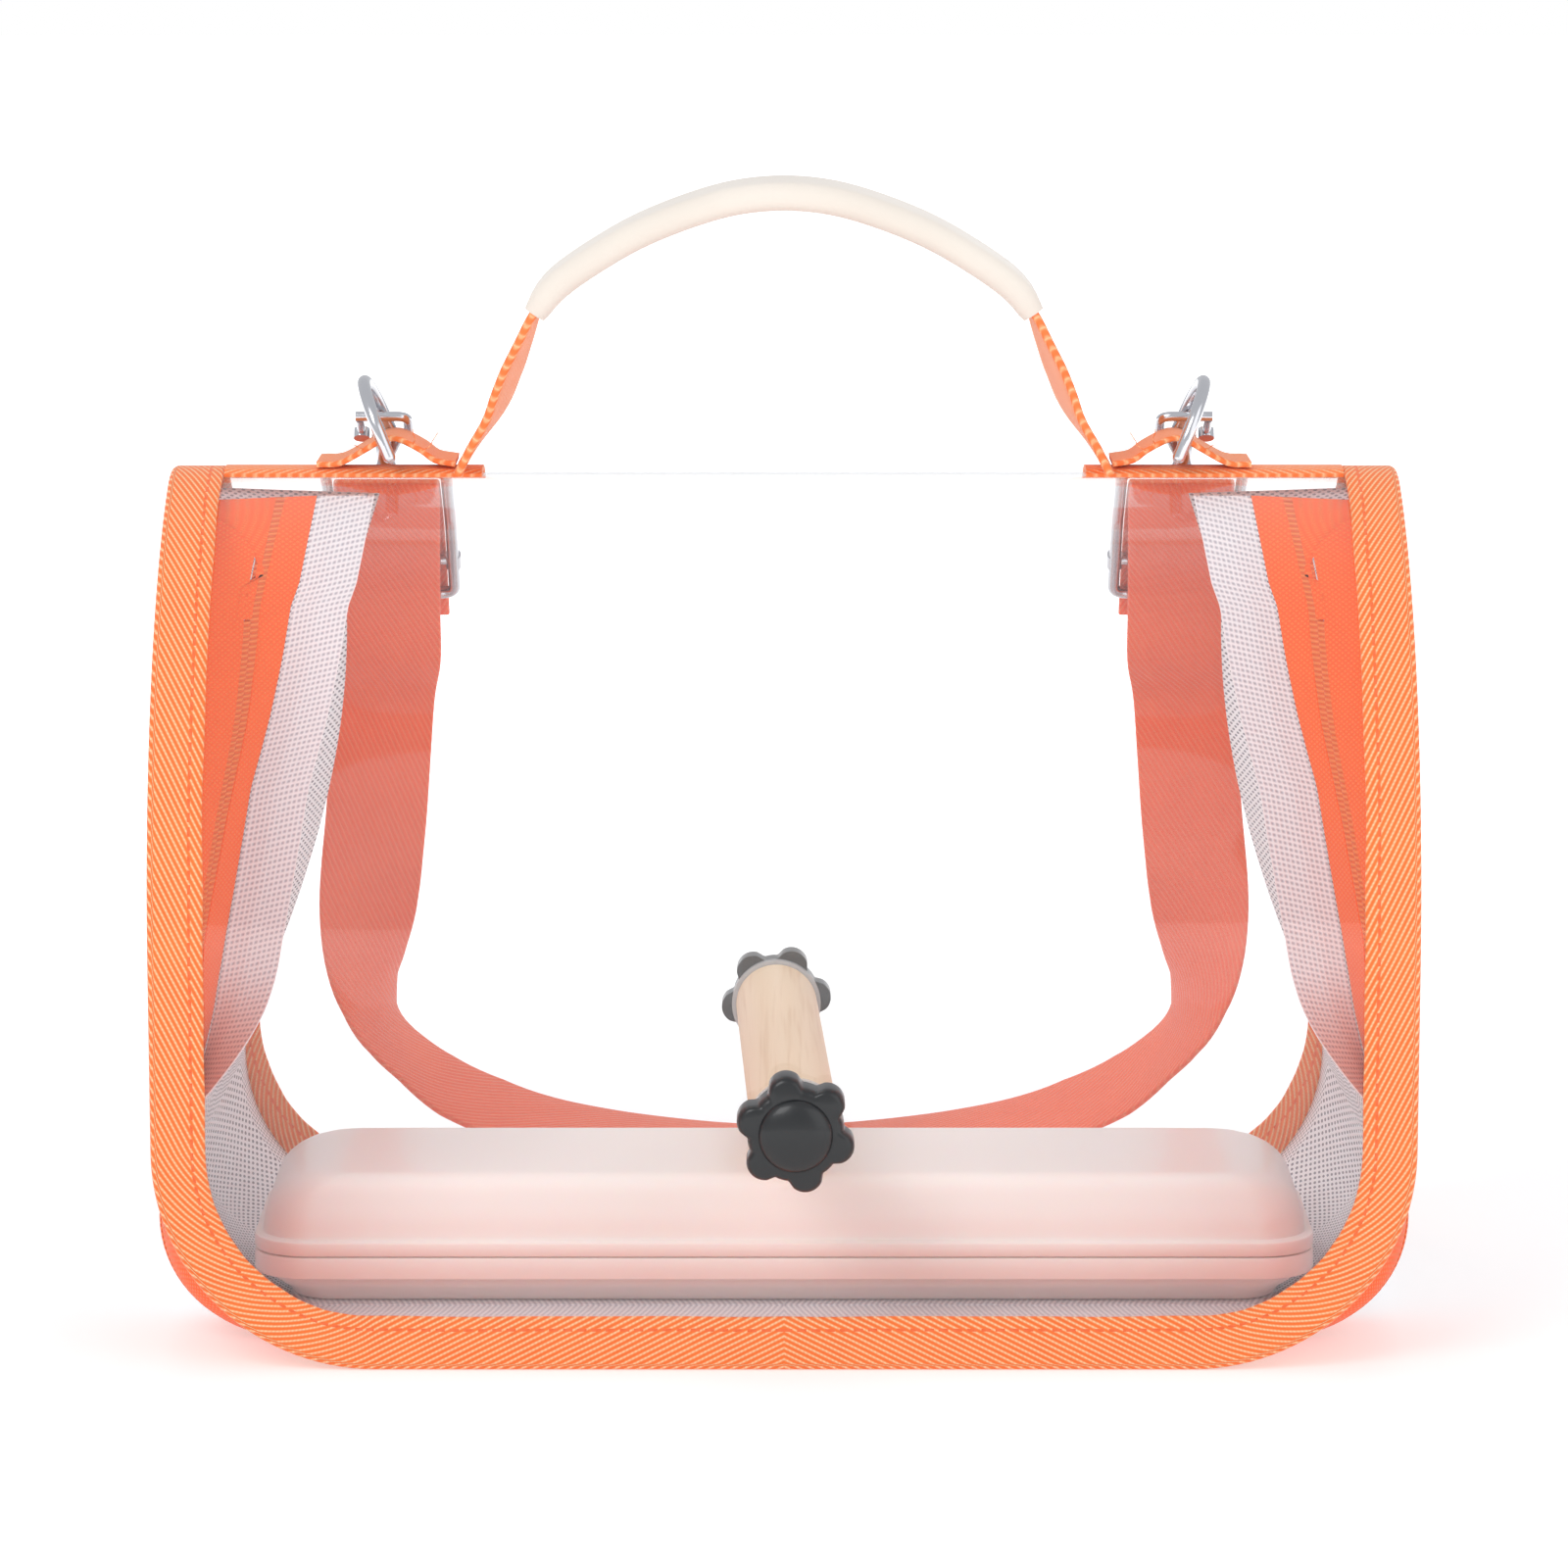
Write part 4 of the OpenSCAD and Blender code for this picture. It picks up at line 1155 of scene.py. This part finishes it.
def make_perch():
    """Star knobs outside the film; the wooden perch, studs, inserts and washers keep their CAD shape."""
    make_knob("front_knob", PERCH_FRONT, Vector((0, -1, 0)), math.radians(43), "front_nut")
    make_knob("back_knob", PERCH_BACK, Vector((0, 1, 0)), math.radians(-7), "back_nut")
    paint_nodes(["perch"], look("wood"))
    paint_nodes(["perch_studs"], look("steel"))
    paint_nodes(["front_insert", "back_insert"], look("brass"))
    paint_nodes(["front_washer", "back_washer", "inner_washers"], look("washer"))


BOX_HALF_W = 124.0
BOX_HALF_D = 32.5
BOX_CORNER = 13.0
LID_TOP_FROM = 18.5
SHOULDER_FROM = 4.2
SHOULDER_DEPTH = 0.3


def plan_ring(z, inset):
    """Rounded rectangle of the box, inset, at height z; the lid's shoulder is shallow at the front and back."""
    soft = min(inset, SHOULDER_FROM) + SHOULDER_DEPTH * max(inset - SHOULDER_FROM, 0.0)
    w, d = BOX_HALF_W - inset, BOX_HALF_D - (soft if z > LID_TOP_FROM else inset)
    r = max(BOX_CORNER - 0.45 * inset, 2.0)
    out = []
    for cx, cy, start in ((w - r, d - r, 0), (-w + r, d - r, 90), (-w + r, -d + r, 180), (w - r, -d + r, 270)):
        for a in range(0, 91, 9):
            t = math.radians(start + a)
            out.append(Vector((cx + r * math.cos(t), cy + r * math.sin(t), z)))
    return out


def make_box():
    """Two-part box on the floor: a tray with a rim and a lid with a rolled edge and soft top."""
    base = [
        (3.0, 14.0), (3.0, 10.2), (3.25, 9.3), (4.0, 8.5), (5.4, 7.6), (6.6, 6.0), (7.6, 4.8), (8.6, 4.2), (9.4, 4.0),
        (9.8, 3.6), (10.0, 2.8), (10.0, 0.8), (10.3, 0.2), (10.9, 0.0), (14.6, 0.0), (15.2, 0.25), (15.4, 0.8),
        (15.4, 4.0), (17.7, 4.0), (18.1, 4.3), (18.1, 5.3), (17.7, 5.6), (9.2, 5.8), (8.0, 6.8), (6.2, 9.4),
        (5.0, 10.4), (4.6, 11.6), (4.6, 14.0),
    ]
    lid = [
        (33.8, 22.0), (33.7, 18.0), (33.3, 14.0), (32.5, 10.6), (31.2, 7.8), (29.5, 5.6), (27.5, 4.0), (25.0, 2.9),
        (22.0, 2.2), (20.0, 2.0), (19.3, 1.9), (19.05, 1.4), (19.0, 0.7), (18.8, 0.2), (18.3, 0.0), (16.2, 0.0),
        (15.7, 0.2), (15.5, 0.8), (15.5, 3.0), (15.7, 3.6), (22.0, 3.9), (26.0, 5.2), (29.0, 8.2), (30.8, 12.4),
        (31.9, 17.0), (32.2, 22.0),
    ]
    for name, rings, body in (("box_base", base, "box"), ("box_lid", lid[::-1], "lid")):
        shell = skin([plan_ring(z, inset) for z, inset in rings])
        piece(name, (*shell, None), "box", 40, body, "cream_plastic")


def make_looks(settings):
    LOOKS.clear()
    LOOKS.update({
        "film": film_look(settings.haze),
        # The first hex code given to each webbing and to the zip tape is the painted highlight on its ribs; the
        # second is its deeper random tone.
        "binding": webbing("orange_edge_webbing", settings.edge_colour, "FFD2A0", "F0661C", stitch_at=(3.0,)),
        "webbing": webbing("orange_strap_webbing", settings.strap_colour, "FFC08C", "F26E2A"),
        "sling": webbing("coral_strap_webbing", settings.sling_colour, "FF8860", "F85C34"),
        "tape": plain_tape("orange_zip_tape", settings.tape_colour, "FF8436", "FA5A10"),
        "coil": coil_look(),
        "mesh": mesh_look(),
        "white_tape": white_tape_look(),
        "foam": foam_look(settings.grip_colour),
        "steel": metal_look("nickel_plated_steel", "D4D4D8", 0.16),
        "brass": metal_look("turned_brass", "D9B063", 0.25),
        "wood": wood_look(),
        "knob": moulded_look("charcoal_moulded_plastic", settings.knob_colour, "1B1D1F", 0.36, coat=0.2),
        "washer": moulded_look("clear_moulded_washer", colour("E9EBEC"), "F3F4F5", 0.2),
        "box": box_look(settings.box_colour),
    })
    washer = LOOKS["washer"].node_tree.nodes["Principled BSDF"]
    washer.inputs["Alpha"].default_value = 0.4


# Camera that sees the bag as the photograph does: place in metres, degrees down, lens in millimetres
PHOTO_PLACE = (0.0, -1.47807, 0.36821)
PHOTO_PITCH = 9.551
PHOTO_LENS = 145.41
FLOOR_HALF = 6000.0


def make_stage():
    """White floor, soft even light and the camera of the photograph."""
    mat, tree, shader = blank("white_floor", {
        "Base Color": colour("D8D8D8"), "Roughness": 0.9, "Emission Color": colour("FFFFFF"),
    })
    coords = own_coords(tree)
    away = add(tree, "ShaderNodeVectorMath", {0: coords}, operation="LENGTH").outputs["Value"]
    glow = add(tree, "ShaderNodeMapRange", {
        "Value": away, "From Min": 0.25, "From Max": 0.9, "To Min": 0.42, "To Max": 1.0,
    }).outputs[0]
    tree.links.new(glow, shader.inputs["Emission Strength"])
    corners = ((-1, -1), (1, -1), (1, 1), (-1, 1))
    verts = [Vector((x * FLOOR_HALF, y * FLOOR_HALF + MID_Y, 0.0)) for x, y in corners]
    floor = build("floor", verts, [(0, 1, 2, 3)], None, mat, smooth=False)

    world = bpy.data.worlds.new("white")
    world.use_nodes = True
    tree = world.node_tree
    tree.nodes.clear()
    out = add(tree, "ShaderNodeOutputWorld")
    path = add(tree, "ShaderNodeLightPath")
    seen = times(tree, path.outputs["Is Camera Ray"], path.outputs["Is Transmission Ray"], "MAXIMUM")
    plain = add(tree, "ShaderNodeBackground", {"Color": colour("FFFFFF"), "Strength": 1.0})
    light = add(tree, "ShaderNodeBackground", {"Color": colour("F6F8FC"), "Strength": 0.7})
    mixed = add(tree, "ShaderNodeMixShader", {0: seen, 1: light.outputs[0], 2: plain.outputs[0]})
    tree.links.new(mixed.outputs[0], out.inputs[0])
    bpy.context.scene.world = world

    for name, place, power, width in (
        ("key", (-0.9, -1.3, 1.5), 12.0, 1.0),
        ("fill", (1.2, -1.0, 0.8), 5.0, 1.4),
        ("top", (0.0, 0.5, 1.7), 5.0, 1.2),
    ):
        lamp = bpy.data.lights.new(name, "AREA")
        lamp.energy = power
        lamp.size = width
        obj = bpy.data.objects.new(name, lamp)
        obj.visible_glossy = name != "top"
        obj.location = place
        obj.rotation_euler = (Vector((0, 0, 0.12)) - Vector(place)).to_track_quat("-Z", "Y").to_euler()
        bpy.context.scene.collection.objects.link(obj)

    lens = bpy.data.cameras.new("camera")
    lens.sensor_fit = "HORIZONTAL"
    lens.sensor_width = 36.0
    lens.lens = PHOTO_LENS
    lens.clip_end = 50.0
    camera = bpy.data.objects.new("camera", lens)
    camera.location = PHOTO_PLACE
    camera.rotation_euler = (math.radians(90 - PHOTO_PITCH), 0.0, 0.0)
    bpy.context.scene.collection.objects.link(camera)
    bpy.context.scene.camera = camera
    bpy.context.scene.view_settings.view_transform = "Standard"


# Add-on


def paint(name, description, code):
    """A colour that the user can change."""
    return bpy.props.FloatVectorProperty(
        name=name, description=description, subtype="COLOR", size=4, min=0.0, max=1.0, default=colour(code),
    )


class CarrierSettings(bpy.types.PropertyGroup):
    haze: bpy.props.FloatProperty(
        name="Film haze", description="How much of the clear film shows, from 0 to 1", default=0.02, min=0.0, max=1.0,
        subtype="FACTOR",
    )
    edge_colour: paint("Edge webbing", "Colour of the webbing round the sheet", "F6782A")
    strap_colour: paint("Handle webbing", "Colour of the webbing on the crown and handle", "FB8440")
    sling_colour: paint("Shoulder strap", "Colour of the shoulder strap", "FF6C3E")
    tape_colour: paint("Zip tape", "Colour of the zip tapes", "FF6414")
    box_colour: paint("Box", "Colour of the two-part box", "FDF3EE")
    grip_colour: paint("Grip", "Colour of the foam sleeve on the handle", "EAE1D6")
    knob_colour: paint("Knobs", "Colour of the star knobs", "121416")


class CARRIER_OT_looks(bpy.types.Operator):
    """Makes the materials"""

    bl_idname = "carrier.looks"
    bl_label = "Make materials"

    def execute(self, context):
        make_looks(context.scene.carrier_settings)
        return {"FINISHED"}


def operator(work):
    """A button of its own for one group of pieces, named after the function that builds it."""
    def execute(self, context):
        work()
        return {"FINISHED"}

    group = work.__name__.removeprefix("make_")
    return type("CARRIER_OT_" + group, (bpy.types.Operator,), {
        "__doc__": work.__doc__, "bl_idname": "carrier." + group, "bl_label": "Build " + group, "execute": execute,
    })


OPERATORS = tuple(operator(work) for work in (
    make_film, make_binding, make_zip, make_sides, make_top, make_handle, make_metal, make_strap, make_perch,
    make_box, make_stage,
))


class CARRIER_PT_panel(bpy.types.Panel):
    bl_label = "Bird travel carrier"
    bl_space_type = "VIEW_3D"
    bl_region_type = "UI"
    bl_category = "Carrier"

    def draw(self, context):
        for name in CarrierSettings.__annotations__:
            self.layout.prop(context.scene.carrier_settings, name)
        self.layout.operator("carrier.looks")
        for made in OPERATORS:
            self.layout.operator(made.bl_idname)


CLASSES = (CarrierSettings, CARRIER_OT_looks, *OPERATORS, CARRIER_PT_panel)


def register():
    for made in CLASSES:
        bpy.utils.register_class(made)
    bpy.types.Scene.carrier_settings = bpy.props.PointerProperty(type=CarrierSettings)


def unregister():
    del bpy.types.Scene.carrier_settings
    for made in reversed(CLASSES):
        bpy.utils.unregister_class(made)


def main():
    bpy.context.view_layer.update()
    register()
    bpy.ops.carrier.looks()
    for made in OPERATORS:
        getattr(bpy.ops.carrier, made.bl_idname.split(".")[1])()


if __name__ == "__main__":
    main()
